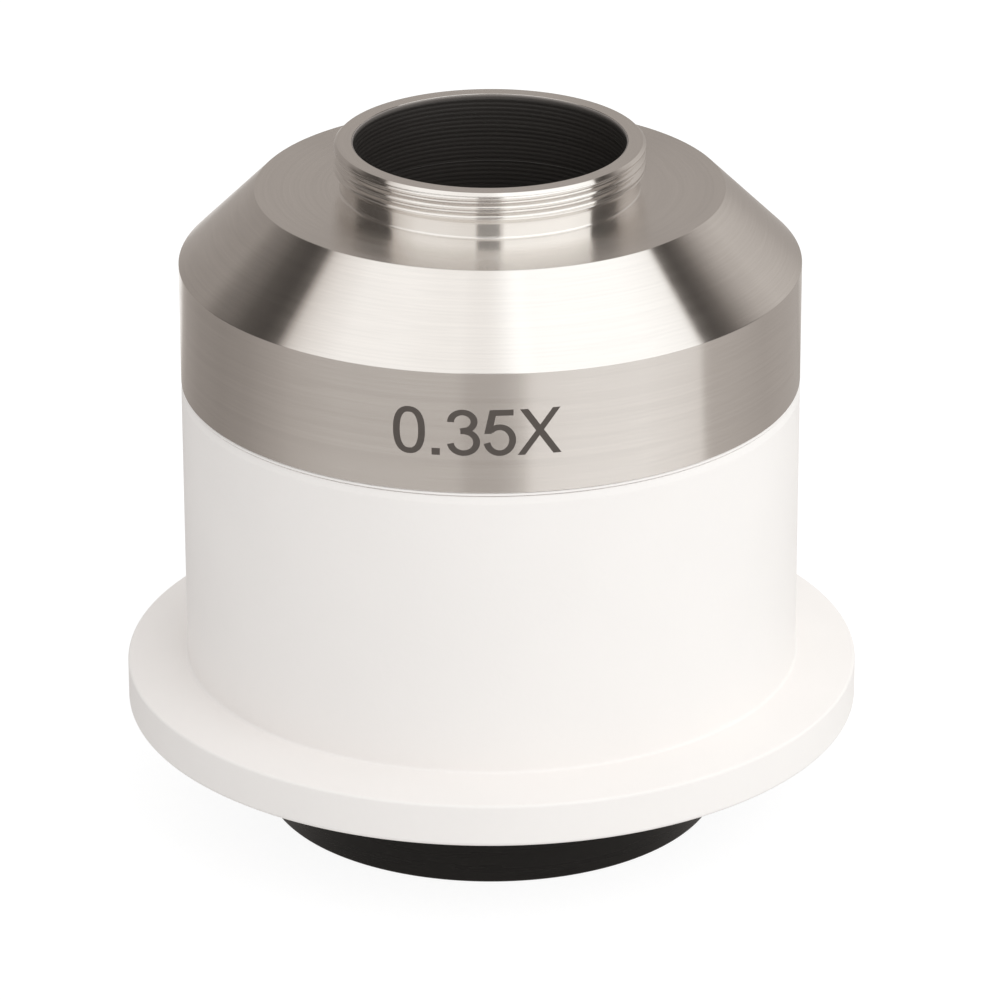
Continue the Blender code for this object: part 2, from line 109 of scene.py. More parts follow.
# White body. The skirt's clearance is also the spigot thread's.
BODY_R = 25.5 * MM
SKIRT_CLEARANCE = 0.15 * MM
RIM_LIFT = 0.07 * MM
RIM_STEP = 0.04 * MM
RIM_GROOVE = 0.32 * MM
FLANGE_RIM = 3.6 * MM
FLANGE_RISE = 0.55 * MM
FLOOR_BOTTOM = 15.1 * MM
FLOOR_TOP = 22.1 * MM
FLOOR_BORE_R = 14.1 * MM

# Black spigot. Its outer ridges are between two heights.
SPIGOT_BORE_R = 16.4 * MM
STUB_R = 18.5 * MM
SPIGOT_LENGTH = 8.9 * MM
SPIGOT_RIDGES = (3.4 * MM, 8.6 * MM)

# Lens barrel, and the glass and the rings in it. The curves are the radii of the glass.
BARREL_BORE_R = 12.2 * MM
BARREL_R = 13.9 * MM
BARREL_FLANGE = 2.2 * MM
BARREL_NOSE = 5.0 * MM
LIP = 0.9 * MM
CLEAR_R = 10.9 * MM
LENS_R = 12.0 * MM
STOP_HOLE_R = 8.4 * MM
OUTER_CURVE = 42.0 * MM
CEMENT_CURVE = 34.0 * MM
INNER_CURVE = 110.0 * MM

# Guide screws, whose slot is (width, depth), and their bushes
GUIDE_SHANK_R = 0.8 * MM
GUIDE_HEAD = 1.3 * MM
GUIDE_POCKET_R = 1.8 * MM
SCREW_SLOT = (0.5 * MM, 0.6 * MM)
BUSH_BORE_R = 0.9 * MM
BUSH_SEAT_R = 1.4 * MM
BUSH_LENGTH = 2.8 * MM

# Rings in the head, and the notches for a pin wrench
LEDGE_R = 19.4 * MM
SPRING_WAVES = 4
SPRING_STRIP = 0.25 * MM
NOTCH_WIDTH = 1.6 * MM
NOTCH_DEPTH = 0.9 * MM

# How fine the broad bands of turned metal and the patches of paint are, per metre, and the grey
# that is painted on the black bore's mouth as the light that falls on its rim.
BAND_FINENESS = 1100.0
PATCH_FINENESS = 90.0
MOUTH_LIGHT_GREY = (0.26, 0.235, 0.22)


class AdapterSizes(bpy.types.PropertyGroup):
    """Sizes of the details that this script adds to the frame."""

    camera_pitch: bpy.props.FloatProperty(
        name="Camera thread pitch",
        description="Rise of the camera thread in one turn, 32 turns to the inch",
        default=25.4 * MM / 32, subtype="DISTANCE", unit="LENGTH",
    )
    focus_pitch: bpy.props.FloatProperty(
        name="Focusing thread pitch",
        description="Rise of the head in one turn",
        default=0.75 * MM, subtype="DISTANCE", unit="LENGTH",
    )
    ridge_pitch: bpy.props.FloatProperty(
        name="Bore ridge pitch",
        description="Spacing of the ridges that stop stray light",
        default=0.38 * MM, subtype="DISTANCE", unit="LENGTH",
    )
    edge_round: bpy.props.FloatProperty(
        name="Edge round",
        description="Radius of a machined edge",
        default=0.08 * MM, subtype="DISTANCE", unit="LENGTH",
    )
    mark_height: bpy.props.FloatProperty(
        name="Mark height",
        description="Height of the figures on the head's band",
        default=3.92 * MM, subtype="DISTANCE", unit="LENGTH",
    )


class AdapterColours(bpy.types.PropertyGroup):
    """Colours of the finishes."""

    silver: bpy.props.FloatVectorProperty(
        name="Silver", description="Bare turned metal of the head",
        default=(0.865, 0.840, 0.812), size=3, min=0, max=1, subtype="COLOR",
    )
    white: bpy.props.FloatVectorProperty(
        name="White paint", description="Paint of the body",
        default=(0.89, 0.86, 0.84), size=3, min=0, max=1, subtype="COLOR",
    )
    black: bpy.props.FloatVectorProperty(
        name="Black", description="Anodised black of the spigot and the rings",
        default=(0.010, 0.009, 0.008), size=3, min=0, max=1, subtype="COLOR",
    )
    bore_black: bpy.props.FloatVectorProperty(
        name="Bore black", description="Matt black inside the bores",
        default=(0.034, 0.030, 0.027), size=3, min=0, max=1, subtype="COLOR",
    )
    ink: bpy.props.FloatVectorProperty(
        name="Ink", description="Dark filling of the figures",
        default=(0.084, 0.070, 0.061), size=3, min=0, max=1, subtype="COLOR",
    )


class AdapterStudio(bpy.types.PropertyGroup):
    """Camera and light."""

    lens: bpy.props.FloatProperty(
        name="Lens", description="Focal length on a frame 36 mm wide",
        default=222.95, unit="CAMERA",
    )
    look_down: bpy.props.FloatProperty(
        name="Look down", description="Angle that the camera looks down",
        default=math.radians(23.15), subtype="ANGLE", unit="ROTATION",
    )
    pan: bpy.props.FloatProperty(
        name="Pan", description="Angle that the camera is turned to the right",
        default=math.radians(0.090), subtype="ANGLE", unit="ROTATION",
    )
    roll: bpy.props.FloatProperty(
        name="Roll", description="Angle that the camera leans",
        default=math.radians(0.153), subtype="ANGLE", unit="ROTATION",
    )
    place: bpy.props.FloatVectorProperty(
        name="Camera place", description="Where the camera stands",
        default=(0.0, -473.87 * MM, 228.6 * MM), size=3, subtype="TRANSLATION", unit="LENGTH",
    )
    fill: bpy.props.FloatProperty(
        name="Fill", description="Brightness of the light from all round", default=0.942,
    )
    key: bpy.props.FloatProperty(
        name="Key", description="Power of the soft lamp, in watts", default=3.3,
    )


def guide_places():
    """Where the two guide screws stand across the adapter."""
    low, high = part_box("guide_screw_right")
    middle = (low.x + high.x) / 2
    return (-middle, middle)


# Outlines

def rounded(corners, closed=True):
    """Outline through corners of (radius, height, round), as an array of (radius, height).

    A corner with a round is an arc that touches both of its sides. Long straight sides get a point
    close to each end, so that they shade flat.
    """
    points = np.array([c[:2] for c in corners], float)
    rounds = [c[2] if len(c) > 2 else 0.0 for c in corners]
    count = len(points)
    out = []
    for k, (here, size) in enumerate(zip(points, rounds)):
        open_end = not closed and k in (0, count - 1)
        if open_end or size <= 0:
            out.append(here[None])
            continue
        before = points[k - 1] - here
        after = points[(k + 1) % count] - here
        before = before / np.linalg.norm(before)
        after = after / np.linalg.norm(after)
        half = math.acos(np.clip(before @ after, -1, 1)) / 2
        middle = (before + after) / np.linalg.norm(before + after)
        centre = here + middle * size / math.sin(half)
        reach = size / math.tan(half)
        first = here + before * reach - centre
        last = here + after * reach - centre
        bend = math.pi - 2 * half
        steps = max(2, math.ceil(bend / math.radians(15)))
        share = np.linspace(0, 1, steps + 1)[:, None]
        swing = np.sin((1 - share) * bend) * first + np.sin(share * bend) * last
        out.append(centre + swing / math.sin(bend))
    joined = [out[0]]
    runs = out[1:] + ([out[0]] if closed else [])
    for here in runs:
        start = joined[-1][-1]
        end = here[0]
        length = np.linalg.norm(end - start)
        if length > 6 * HOLD:
            joined.append(start + (end - start) * np.array([[HOLD], [length - HOLD]]) / length)
        joined.append(here)
    outline = np.concatenate(joined)
    return outline[:-1] if closed and np.allclose(outline[0], outline[-1]) else outline


def dense(outline, radius, spacing=THREAD_ROW):
    """The outline with points no further apart than spacing along its wall of one radius."""
    ends = np.roll(outline, -1, axis=0)
    pieces = []
    for start, end in zip(outline, ends):
        on_wall = abs(start[0] - radius) < SAME and abs(end[0] - radius) < SAME
        steps = max(1, math.ceil(np.linalg.norm(end - start) / spacing)) if on_wall else 1
        share = np.arange(steps)[:, None] / steps
        pieces.append(start + (end - start) * share)
    return np.concatenate(pieces)


def ring_outline(inner, outer, low, high, edge, drop=0.0):
    """Section of a plain ring, whose inner upper edge lies lower by drop."""
    corners = [(inner, low), (outer, low), (outer, high), (inner, high - drop)]
    return rounded([(*corner, edge) for corner in corners])


def sag(curve, r):
    """Depth of a sphere of radius curve at distance r from the axis."""
    return curve - np.sqrt(curve * curve - r * r)


def seat_drop(curve, outer):
    """How much lower a seat on curved glass lies at the clear opening than at its outer radius."""
    return sag(curve, outer) - sag(curve, CLEAR_R)


# Shapes that vary with the angle

def smooth(value, low, high):
    """Ease from 0 at low to 1 at high."""
    t = np.clip((value - low) / (high - low), 0, 1)
    return t * t * (3 - 2 * t)


def thread(pitch, depth, low, high, fade, radius, flat=0.14):
    """Right-handed thread cut in the wall of one radius, between two heights.

    The groove's depth is a triangle wave of (height - pitch * angle / one turn) / pitch, with its
    crests and roots cut flat, and it fades out over the distance fade at each end.
    """
    def relief(r, z, angle):
        wave = np.abs((z - pitch * angle / TURN) / pitch % 1.0 - 0.5) * 2
        groove = np.clip((wave - flat) / (1 - 2 * flat), 0, 1)
        ends = smooth(z, low, low + fade) * (1 - smooth(z, high - fade, high))
        return -depth * groove * ends * (np.abs(r - radius) < SAME)
    return relief


def ridges(pitch, depth, low, high, radius):
    """Round-bottomed grooves of a helix in the wall of one radius, with sharp ridges between."""
    def relief(r, z, angle):
        wave = np.abs(np.sin(math.pi * (z - pitch * angle / TURN) / pitch))
        ends = smooth(z, low, low + pitch) * (1 - smooth(z, high - pitch, high))
        return depth * (1 - wave) * ends * (np.abs(r - radius) < SAME)
    return relief


# Meshes

def add_mesh(name, points, quads, material, triangles=None):
    """A named object from arrays of points and faces, turned outwards and shaded smooth."""
    faces = [quads.reshape(-1, 4)]
    if triangles is not None:
        faces.append(triangles.reshape(-1, 3))
    volume = 0.0
    for group in faces:
        for k in range(1, group.shape[1] - 1):
            a, b, c = (points[group[:, i]] for i in (0, k, k + 1))
            volume += np.einsum("ij,ij->i", a, np.cross(b, c)).sum()
    if volume < 0:
        faces = [group[:, ::-1] for group in faces]
    loops = np.concatenate([group.ravel() for group in faces])
    sizes = np.concatenate([np.full(len(group), group.shape[1]) for group in faces])
    mesh = bpy.data.meshes.new(name)
    mesh.vertices.add(len(points))
    mesh.vertices.foreach_set("co", points.astype(np.float32).ravel())
    mesh.loops.add(len(loops))
    mesh.loops.foreach_set("vertex_index", loops.astype(np.int32))
    mesh.polygons.add(len(sizes))
    mesh.polygons.foreach_set("loop_start", (np.cumsum(sizes) - sizes).astype(np.int32))
    mesh.update(calc_edges=True)
    mesh.validate()
    mesh.shade_smooth()
    mesh.materials.append(material)
    piece = bpy.data.objects.new(name, mesh)
    bpy.context.scene.collection.objects.link(piece)
    return piece


def turned(name, outline, material, steps=PLAIN_STEPS, reliefs=(), waves=None, centre=(0.0, 0.0)):
    """Closed outline carried once round the axis.

    A point is (x + r cos a, y + r sin a, z), with r and z from the outline, the sum of the reliefs
    at (r, z, a) added to r, and waves at (r, a) added to z.
    """
    angle = (np.arange(steps) * TURN / steps)[:, None]
    r = outline[None, :, 0]
    z = outline[None, :, 1]
    radius = r + sum((relief(r, z, angle) for relief in reliefs), np.zeros((steps, 1)))
    height = z + (waves(r, angle) if waves else np.zeros((steps, 1)))
    points = round_points(radius, height, angle, centre)
    return add_mesh(name, points, grid_faces(steps, len(outline)), material)


def round_points(radius, height, angle, centre):
    """Rows of points, one row for each angle round a centre."""
    x = centre[0] + radius * np.cos(angle)
    y = centre[1] + radius * np.sin(angle)
    return np.stack([x, y, np.broadcast_to(height, x.shape)], axis=-1).reshape(-1, 3)


def grid_faces(rows, columns):
    """Faces of a grid that closes on itself both ways."""
    row = np.arange(rows)[:, None]
    column = np.arange(columns)[None, :]
    next_row = (row + 1) % rows
    next_column = (column + 1) % columns
    corners = [row * columns + column, next_row * columns + column,
               next_row * columns + next_column, row * columns + next_column]
    return np.stack(np.broadcast_arrays(*corners), axis=-1).reshape(-1, 4)


def capped(name, outline, material, steps=PLAIN_STEPS, centre=(0.0, 0.0)):
    """Outline from axis to axis carried once round, with one point at each pole.

    A point is (x + r cos a, y + r sin a, z), with r and z from the outline.
    """
    angle = (np.arange(steps) * TURN / steps)[:, None]
    side = round_points(outline[None, 1:-1, 0], outline[None, 1:-1, 1], angle, centre)
    poles = [[*centre, outline[0, 1]], [*centre, outline[-1, 1]]]
    rows = len(outline) - 2
    quads = grid_faces(steps, rows).reshape(steps, rows, 4)[:, :-1].reshape(-1, 4)
    here = np.arange(steps) * rows
    following = np.roll(here, -1)
    pole = np.full(steps, len(side))
    first = np.stack([pole, following, here], axis=-1)
    last = np.stack([pole + 1, here + rows - 1, following + rows - 1], axis=-1)
    return add_mesh(name, np.concatenate([side, poles]), quads, material, np.concatenate([first, last]))


def box_mesh(name, low, high):
    """A plain box, used only to cut with."""
    grid = np.array([[x, y, z] for x in (0, 1) for y in (0, 1) for z in (0, 1)], float)
    points = np.array(low) + grid * (np.array(high) - np.array(low))
    quads = np.array([[0, 1, 3, 2], [4, 6, 7, 5], [0, 4, 5, 1], [2, 3, 7, 6], [0, 2, 6, 4], [1, 5, 7, 3]])
    mesh = bpy.data.meshes.new(name)
    mesh.from_pydata(points.tolist(), [], quads.tolist())
    cutter = bpy.data.objects.new(name, mesh)
    bpy.context.scene.collection.objects.link(cutter)
    return cutter


def carve(piece, cutter):
    """Cut one shape out of a piece for good, and keep its flat faces flat."""
    boolean = piece.modifiers.new("carve", "BOOLEAN")
    boolean.operation = "DIFFERENCE"
    boolean.solver = "EXACT"
    boolean.object = cutter
    depsgraph = bpy.context.evaluated_depsgraph_get()
    mesh = bpy.data.meshes.new_from_object(piece.evaluated_get(depsgraph))
    piece.modifiers.clear()
    old = piece.data
    piece.data = mesh
    bpy.data.meshes.remove(old)
    bpy.data.objects.remove(cutter, do_unlink=True)
    mesh.name = piece.name
    mesh.shade_smooth()
    mesh.set_sharp_from_angle(angle=SHARP)


def drill(piece, material, x, steps):
    """Bore a hole upwards beside the axis: steps are (radius, from, to), one above the other."""
    sides = [(r, z) for r, *ends in steps for z in ends]
    outline = np.array([(0.0, sides[0][1]), *sides, (0.0, sides[-1][1])])
    carve(piece, capped("hole", outline, material, SMALL_STEPS, (x, 0.0)))


def notch(piece, reach, low):
    """Cut the slot for a pin wrench across a ring's lower face."""
    carve(piece, box_mesh("notch", (-reach - MM, -NOTCH_WIDTH / 2, low - MM),
                          (reach + MM, NOTCH_WIDTH / 2, low + NOTCH_DEPTH)))


def place(piece, body, slot, *nodes):
    """Hang a piece on its body and let it stand for the frame's nodes, which are hidden. The slot is not
    used.
    """
    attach(piece, body)
    if nodes:
        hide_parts(*nodes)


# Materials

def new_node(tree, kind, settings=(), **links):
    """A shader node. Values and links go by socket name, with _ for a space, or by i and a number."""
    node = tree.nodes.new(kind)
    for name, value in dict(settings).items():
        setattr(node, name, value)
    for name, value in links.items():
        numbered = name[0] == "i" and name[1:].isdigit()
        socket = node.inputs[int(name[1:]) if numbered else name.replace("_", " ")]
        if isinstance(value, bpy.types.NodeSocket):
            tree.links.new(value, socket)
        else:
            socket.default_value = value
    return node


def maths(tree, operation, a, b=0.0, c=0.0):
    """Output of a Math node."""
    return new_node(tree, "ShaderNodeMath", {"operation": operation}, i0=a, i1=b, i2=c).outputs[0]


def vector_maths(tree, operation, a, b=(0.0, 0.0, 0.0)):
    """Outputs of a Vector Math node."""
    return new_node(tree, "ShaderNodeVectorMath", {"operation": operation}, i0=a, i1=b).outputs


def split(tree, vector):
    """The three parts of a vector."""
    return new_node(tree, "ShaderNodeSeparateXYZ", Vector=vector).outputs


def combined(tree, x, y, z):
    """A vector from its three parts."""
    return new_node(tree, "ShaderNodeCombineXYZ", i0=x, i1=y, i2=z).outputs[0]


def noise(tree, vector, scale, detail, roughness=0.5):
    """Value of a Noise Texture node."""
    return new_node(tree, "ShaderNodeTexNoise", Vector=vector, Scale=scale, Detail=detail,
                    Roughness=roughness).outputs[0]


def ramp(tree, value, low, high, to_low=0.0, to_high=1.0, kind="SMOOTHSTEP"):
    """Output of a Map Range node."""
    return new_node(tree, "ShaderNodeMapRange", {"interpolation_type": kind}, Value=value, From_Min=low,
                    From_Max=high, To_Min=to_low, To_Max=to_high).outputs["Result"]


def around(tree, mask, middle, spread):
    """A number that follows a mask over a spread about a middle."""
    return ramp(tree, mask, 0, 1, middle - spread / 2, middle + spread / 2, "LINEAR")


def mixed(tree, share, first, second):
    """A number that goes from first to second as share goes from 0 to 1."""
    return new_node(tree, "ShaderNodeMix", {"data_type": "FLOAT"}, i0=share, i2=first, i3=second).outputs[0]


def mixed_colour(tree, share, first, second):
    """A colour that goes from first to second as share goes from 0 to 1. Each is a socket or numbers."""
    first, second = (c if isinstance(c, bpy.types.NodeSocket) else (*c, 1.0) for c in (first, second))
    return new_node(tree, "ShaderNodeMix", {"data_type": "RGBA"}, i0=share, i6=first, i7=second).outputs[2]


def object_place(tree):
    """Place of a point in the adapter's own frame."""
    return tree.nodes.new("ShaderNodeTexCoord").outputs["Object"]


def new_group(name, inputs, outputs):
    """An empty shader node group with named sockets. Returns the tree, its inputs and its output."""
    tree = bpy.data.node_groups.new(name, "ShaderNodeTree")
    for label, kind, default in inputs:
        socket = tree.interface.new_socket(label, in_out="INPUT", socket_type=kind)
        if default is not None:
            socket.default_value = default
    for label, kind in outputs:
        tree.interface.new_socket(label, in_out="OUTPUT", socket_type=kind)
    entry = tree.nodes.new("NodeGroupInput")
    leave = tree.nodes.new("NodeGroupOutput")
    return tree, entry.outputs, leave.inputs


def turning_marks_group():
    """Marks of the cutting tool on turned metal.

    Noise over (radius, height) stretched to lines, which drift slowly round the piece. Lines is
    the fine marks from 0 to 1, and Bands is a broader change of tone.
    """
    tree, given, out = new_group(
        "turning_marks",
        [("Vector", "NodeSocketVector", None), ("Fineness", "NodeSocketFloat", 9000.0),
         ("Drift", "NodeSocketFloat", 60.0)],
        [("Lines", "NodeSocketFloat"), ("Bands", "NodeSocketFloat")],
    )
    parts = split(tree, given["Vector"])
    squares = [maths(tree, "MULTIPLY", part, part) for part in parts[:2]]
    across = maths(tree, "SQRT", maths(tree, "ADD", *squares))
    drift = new_node(tree, "ShaderNodeVectorMath", {"operation": "SCALE"},
                     i0=given["Vector"], Scale=given["Drift"]).outputs[0]
    third = maths(tree, "MULTIPLY", noise(tree, drift, 1.0, 1.0), 6.0)
    fine = [maths(tree, "MULTIPLY", part, given["Fineness"]) for part in (across, parts[2])]
    coarse = [maths(tree, "MULTIPLY", part, BAND_FINENESS) for part in (across, parts[2])]
    lines = noise(tree, combined(tree, *fine, third), 1.0, 3.0, 0.6)
    bands = noise(tree, combined(tree, *coarse, maths(tree, "MULTIPLY", third, 0.5)), 1.0, 2.0)
    tree.links.new(ramp(tree, lines, 0.3, 0.7), out["Lines"])
    tree.links.new(ramp(tree, bands, 0.25, 0.75), out["Bands"])
    return tree


def surface_grain_group():
    """Fine unevenness of paint, rubber and anodising: Grain is small, Patches is broad."""
    tree, given, out = new_group(
        "surface_grain",
        [("Vector", "NodeSocketVector", None), ("Size", "NodeSocketFloat", 2500.0)],
        [("Grain", "NodeSocketFloat"), ("Patches", "NodeSocketFloat")],
    )
    for label, fineness in (("Grain", given["Size"]), ("Patches", PATCH_FINENESS)):
        value = noise(tree, given["Vector"], fineness, 2.0)
        tree.links.new(ramp(tree, value, 0.3, 0.7), out[label])
    return tree


def group_outputs(tree, group, vector, **values):
    """Place a shared group in a material and return its outputs."""
    node = tree.nodes.new("ShaderNodeGroup")
    node.node_tree = group
    tree.links.new(vector, node.inputs["Vector"])
    for name, value in values.items():
        node.inputs[name].default_value = value
    return node.outputs


def new_material(name):
    """A material with a Principled shader. Returns it, its tree, the shader and object coordinates."""
    material = bpy.data.materials.new(name)
    material.use_nodes = True
    tree = material.node_tree
    return material, tree, tree.nodes["Principled BSDF"], object_place(tree)


def tinted(tree, colour, mask, amount):
    """The colour, darkened by amount where the mask is 0."""
    return mixed_colour(tree, mask, [c * (1 - amount) for c in colour], colour)


def bumped(tree, shader, height, distance):
    """Feed a height to the shader's normal."""
    bump = new_node(tree, "ShaderNodeBump", Strength=1.0, Distance=distance, Height=height)
    tree.links.new(bump.outputs["Normal"], shader.inputs["Normal"])


def metal(name, group, colour, roughness, fineness=9000.0, depth=0.6e-6, metallic=1.0, spread=0.10,
          dark=0.10, shine=0.5):
    """Turned metal: fine marks round the axis change its tone, gloss and normal."""
    material, tree, shader, vector = new_material(name)
    marks = group_outputs(tree, group, vector, Fineness=fineness)
    tone = maths(tree, "ADD", maths(tree, "MULTIPLY", marks["Lines"], 0.6),
                 maths(tree, "MULTIPLY", marks["Bands"], 0.4))
    tree.links.new(tinted(tree, colour, tone, dark), shader.inputs["Base Color"])
    tree.links.new(around(tree, marks["Bands"], roughness, spread), shader.inputs["Roughness"])
    shader.inputs["Metallic"].default_value = metallic
    shader.inputs["Specular IOR Level"].default_value = shine
    bumped(tree, shader, marks["Lines"], depth)
    return material


def brushed_silver(name, group, colour):
    """Silver of the head, which spreads a reflection across the turning marks."""
    material = metal(name, group, colour, 0.19, 5200.0, 0.4e-6, spread=0.03, dark=0.06)
    tree = material.node_tree
    shader = tree.nodes["Principled BSDF"]
    shader.inputs["Anisotropic"].default_value = 1.0
    shader.inputs["Anisotropic Rotation"].default_value = 0.25
    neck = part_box("camera_head")[1].z - NECK_HEIGHT
    finer = ramp(tree, split(tree, object_place(tree))[2], neck, neck + 0.3 * MM, 1.0, 0.75)
    gloss = shader.inputs["Roughness"]
    tree.links.new(maths(tree, "MULTIPLY", gloss.links[0].from_socket, finer), gloss)
    tangent = new_node(tree, "ShaderNodeTangent", {"direction_type": "RADIAL", "axis": "Z"})
    tree.links.new(tangent.outputs[0], shader.inputs["Tangent"])
    return material


def bore_coating(name, group, colour):
    """Matt black of the bore, with painted light at the mouth: grey towards its edge, where light falls."""
    material = metal(name, group, colour, 0.48, 9000.0, 2e-6, 0.0, 0.08, 0.25)
    tree = material.node_tree
    base = tree.nodes["Principled BSDF"].inputs["Base Color"]
    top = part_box("camera_head")[1].z
    # Painted light: over the top half millimetre the black turns grey towards the rim, where light falls on
    # the mouth.
    mouth_light = ramp(tree, split(tree, object_place(tree))[2], top - 0.5 * MM, top - 0.05 * MM)
    tree.links.new(mixed_colour(tree, mouth_light, base.links[0].from_socket, MOUTH_LIGHT_GREY), base)
    return material


def grained(name, group, colour, roughness, size, depth, dark=0.04, shine=0.5):
    """Paint, plastic, rubber or ink: a fine grain in its gloss and normal, and faint patches."""
    material, tree, shader, vector = new_material(name)
    grain = group_outputs(tree, group, vector, Size=size)
    tree.links.new(tinted(tree, colour, grain["Patches"], dark), shader.inputs["Base Color"])
    tree.links.new(around(tree, grain["Patches"], roughness, 0.06), shader.inputs["Roughness"])
    shader.inputs["Specular IOR Level"].default_value = shine
    bumped(tree, shader, grain["Grain"], depth)
    return material


def lens_glass(name, group, index, tint):
    """Coated glass, with a faint bloom of dust in its gloss."""
    material, tree, shader, vector = new_material(name)
    grain = group_outputs(tree, group, vector, Size=3000.0)
    tree.links.new(around(tree, grain["Patches"], 0.01, 0.02), shader.inputs["Roughness"])
    shader.inputs["Base Color"].default_value = (*tint, 1.0)
    shader.inputs["Transmission Weight"].default_value = 1.0
    shader.inputs["IOR"].default_value = index
    shader.inputs["Specular Tint"].default_value = (0.45, 0.75, 0.55, 1.0)
    return material


finishes = {}


def make_finishes(colours):
    """Every material of the adapter, by name."""
    marks = turning_marks_group()
    grain = surface_grain_group()
    finishes.update(
        silver=brushed_silver("turned_silver", marks, colours.silver),
        white=grained("white_paint", grain, colours.white, 0.50, 1800.0, 4e-6, 0.012, 0.15),
        black=metal("black_anodised", marks, colours.black, 0.30, 7000.0, 2e-6, 0.0, 0.10, 0.25, 0.22),
        bore=bore_coating("bore_black", marks, colours.bore_black),
        ink=grained("mark_ink", grain, colours.ink, 0.55, 9000.0, 2e-6, 0.12),
        steel=metal("bright_steel", marks, (0.60, 0.59, 0.57), 0.25),
        bronze=metal("bush_bronze", marks, (0.62, 0.42, 0.20), 0.32),
        rubber=grained("black_rubber", grain, (0.022, 0.021, 0.020), 0.55, 6000.0, 4e-6, 0.2),
        plastic=grained("white_plastic", grain, (0.74, 0.74, 0.71), 0.45, 4000.0, 3e-6),
        crown=lens_glass("crown_glass", grain, 1.52, (0.96, 0.99, 0.98)),
        flint=lens_glass("flint_glass", grain, 1.62, (0.98, 0.97, 0.93)),
    )


# Operators, one for each piece or group of like pieces

class ADAPTER_OT_finishes(bpy.types.Operator):
    """Make the materials that the pieces share"""

    bl_idname = "adapter.finishes"
    bl_label = "Finishes"
    bl_options = {"REGISTER", "UNDO"}

    def execute(self, context):
        make_finishes(context.scene.adapter_colours)
        return {"FINISHED"}


class ADAPTER_OT_head(bpy.types.Operator):
    """Silver head: skirt, band, cone, camera seat and the camera's thread"""

    bl_idname = "adapter.head"
    bl_label = "Camera head"
    bl_options = {"REGISTER", "UNDO"}

    def execute(self, context):
        sizes = context.scene.adapter_sizes
        low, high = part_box("camera_head")
        top = high.z
        seat = top - NECK_HEIGHT
        cone_foot = seat - CONE_HEIGHT
        shoulder = low.z + SKIRT_LENGTH
        inner_shoulder = shoulder - SHOULDER_DEPTH
        ceiling = seat - TOP_PLATE
        edge = sizes.edge_round
        groove_top = shoulder - GROOVE_DROP
        relief_top = seat + NECK_RELIEF
        corners = [
            (SKIRT_BORE_R, low.z, edge),
            (SKIRT_R - CHAMFER, low.z, edge),
            (SKIRT_R, low.z + CHAMFER, edge),
            (SKIRT_R, groove_top - GROOVE_WIDTH, edge),
            (SKIRT_R - GROOVE_DEPTH, groove_top - GROOVE_WIDTH, edge),
            (SKIRT_R - GROOVE_DEPTH, groove_top, edge),
            (SKIRT_R, groove_top, edge),
            (SKIRT_R, shoulder, edge),
            (high.x - 0.05 * MM, shoulder, 0.01 * MM),
            (high.x, shoulder + 0.05 * MM, 0.02 * MM),
            (high.x, cone_foot, edge),
            (SEAT_R, seat, edge),
            (NECK_RELIEF_R, seat, 0.2 * MM),
            (NECK_RELIEF_R, relief_top, 0.15 * MM),
            (NECK_THREAD_R, relief_top + NECK_THREAD_R - NECK_RELIEF_R, edge),
            (NECK_THREAD_R, top - 0.25 * MM, 0.05 * MM),
            (NECK_THREAD_R - 0.25 * MM, top, 0.05 * MM),
            (NECK_BORE_R + LINING, top, 0.03 * MM),
            (NECK_BORE_R + LINING, ceiling + BAFFLE_ENTRY, edge),
            (BAFFLE_R + LINING, ceiling + BAFFLE_ENTRY, edge),
            (BAFFLE_R + LINING, ceiling, edge),
            (CAVITY_R, ceiling, 0.5 * MM),
            (CAVITY_R, inner_shoulder, edge),
            (SKIRT_BORE_R, inner_shoulder, edge),
        ]
        outline = dense(dense(rounded(corners), NECK_THREAD_R), SKIRT_R, 2 * THREAD_ROW)
        camera = thread(sizes.camera_pitch, THREAD_DEPTH, relief_top + 0.4 * MM, top, 0.5 * MM,
                        NECK_THREAD_R)
        focus = thread(sizes.focus_pitch, THREAD_DEPTH, low.z + 0.2 * MM, groove_top - GROOVE_WIDTH,
                       0.8 * MM, SKIRT_R)
        piece = turned("head_silver", outline, finishes["silver"], FINE_STEPS, [camera, focus])
        place(piece, "head_group", "satin_silver", "camera_head")
        return {"FINISHED"}


class ADAPTER_OT_bore(bpy.types.Operator):
    """Blackened, ridged bore: the head's own lining and the baffle tube under it"""

    bl_idname = "adapter.bore"
    bl_label = "Bore and baffle"
    bl_options = {"REGISTER", "UNDO"}

    def execute(self, context):
        sizes = context.scene.adapter_sizes
        low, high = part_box("baffle_tube")
        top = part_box("camera_head")[1].z
        ceiling = top - NECK_HEIGHT - TOP_PLATE
        lining_low = ceiling + BAFFLE_ENTRY
        lining_high = top - 0.03 * MM
        edge = 0.03 * MM
        lining = rounded([
            (NECK_BORE_R, lining_low, 0.004 * MM),
            (NECK_BORE_R + LINING, lining_low, edge),
            (NECK_BORE_R + LINING, lining_high, edge),
            (NECK_BORE_R, lining_high, 0.09 * MM),
        ])
        inner = ridges(sizes.ridge_pitch, 0.03 * MM, low.z, top, NECK_BORE_R)
        piece = turned("head_bore", dense(lining, NECK_BORE_R), finishes["bore"], PLAIN_STEPS, [inner])
        place(piece, "head_group", "matt_black", "camera_head")

        flange_top = ceiling - PLAY
        tube = rounded([
            (NECK_BORE_R, low.z, 0.2 * MM),
            (BAFFLE_R, low.z, 0.2 * MM),
            (BAFFLE_R, flange_top - BAFFLE_FLANGE, 0.1 * MM),
            (high.x, flange_top - BAFFLE_FLANGE, 0.1 * MM),
            (high.x, flange_top, 0.1 * MM),
            (BAFFLE_R, flange_top, 0.1 * MM),
            (BAFFLE_R, high.z, 0.1 * MM),
            (NECK_BORE_R, lining_low - 0.01 * MM),
        ])
        piece = turned("bore_baffle", dense(tube, NECK_BORE_R), finishes["bore"], PLAIN_STEPS, [inner])
        place(piece, "head_group", "matt_black", "baffle_tube")
        return {"FINISHED"}


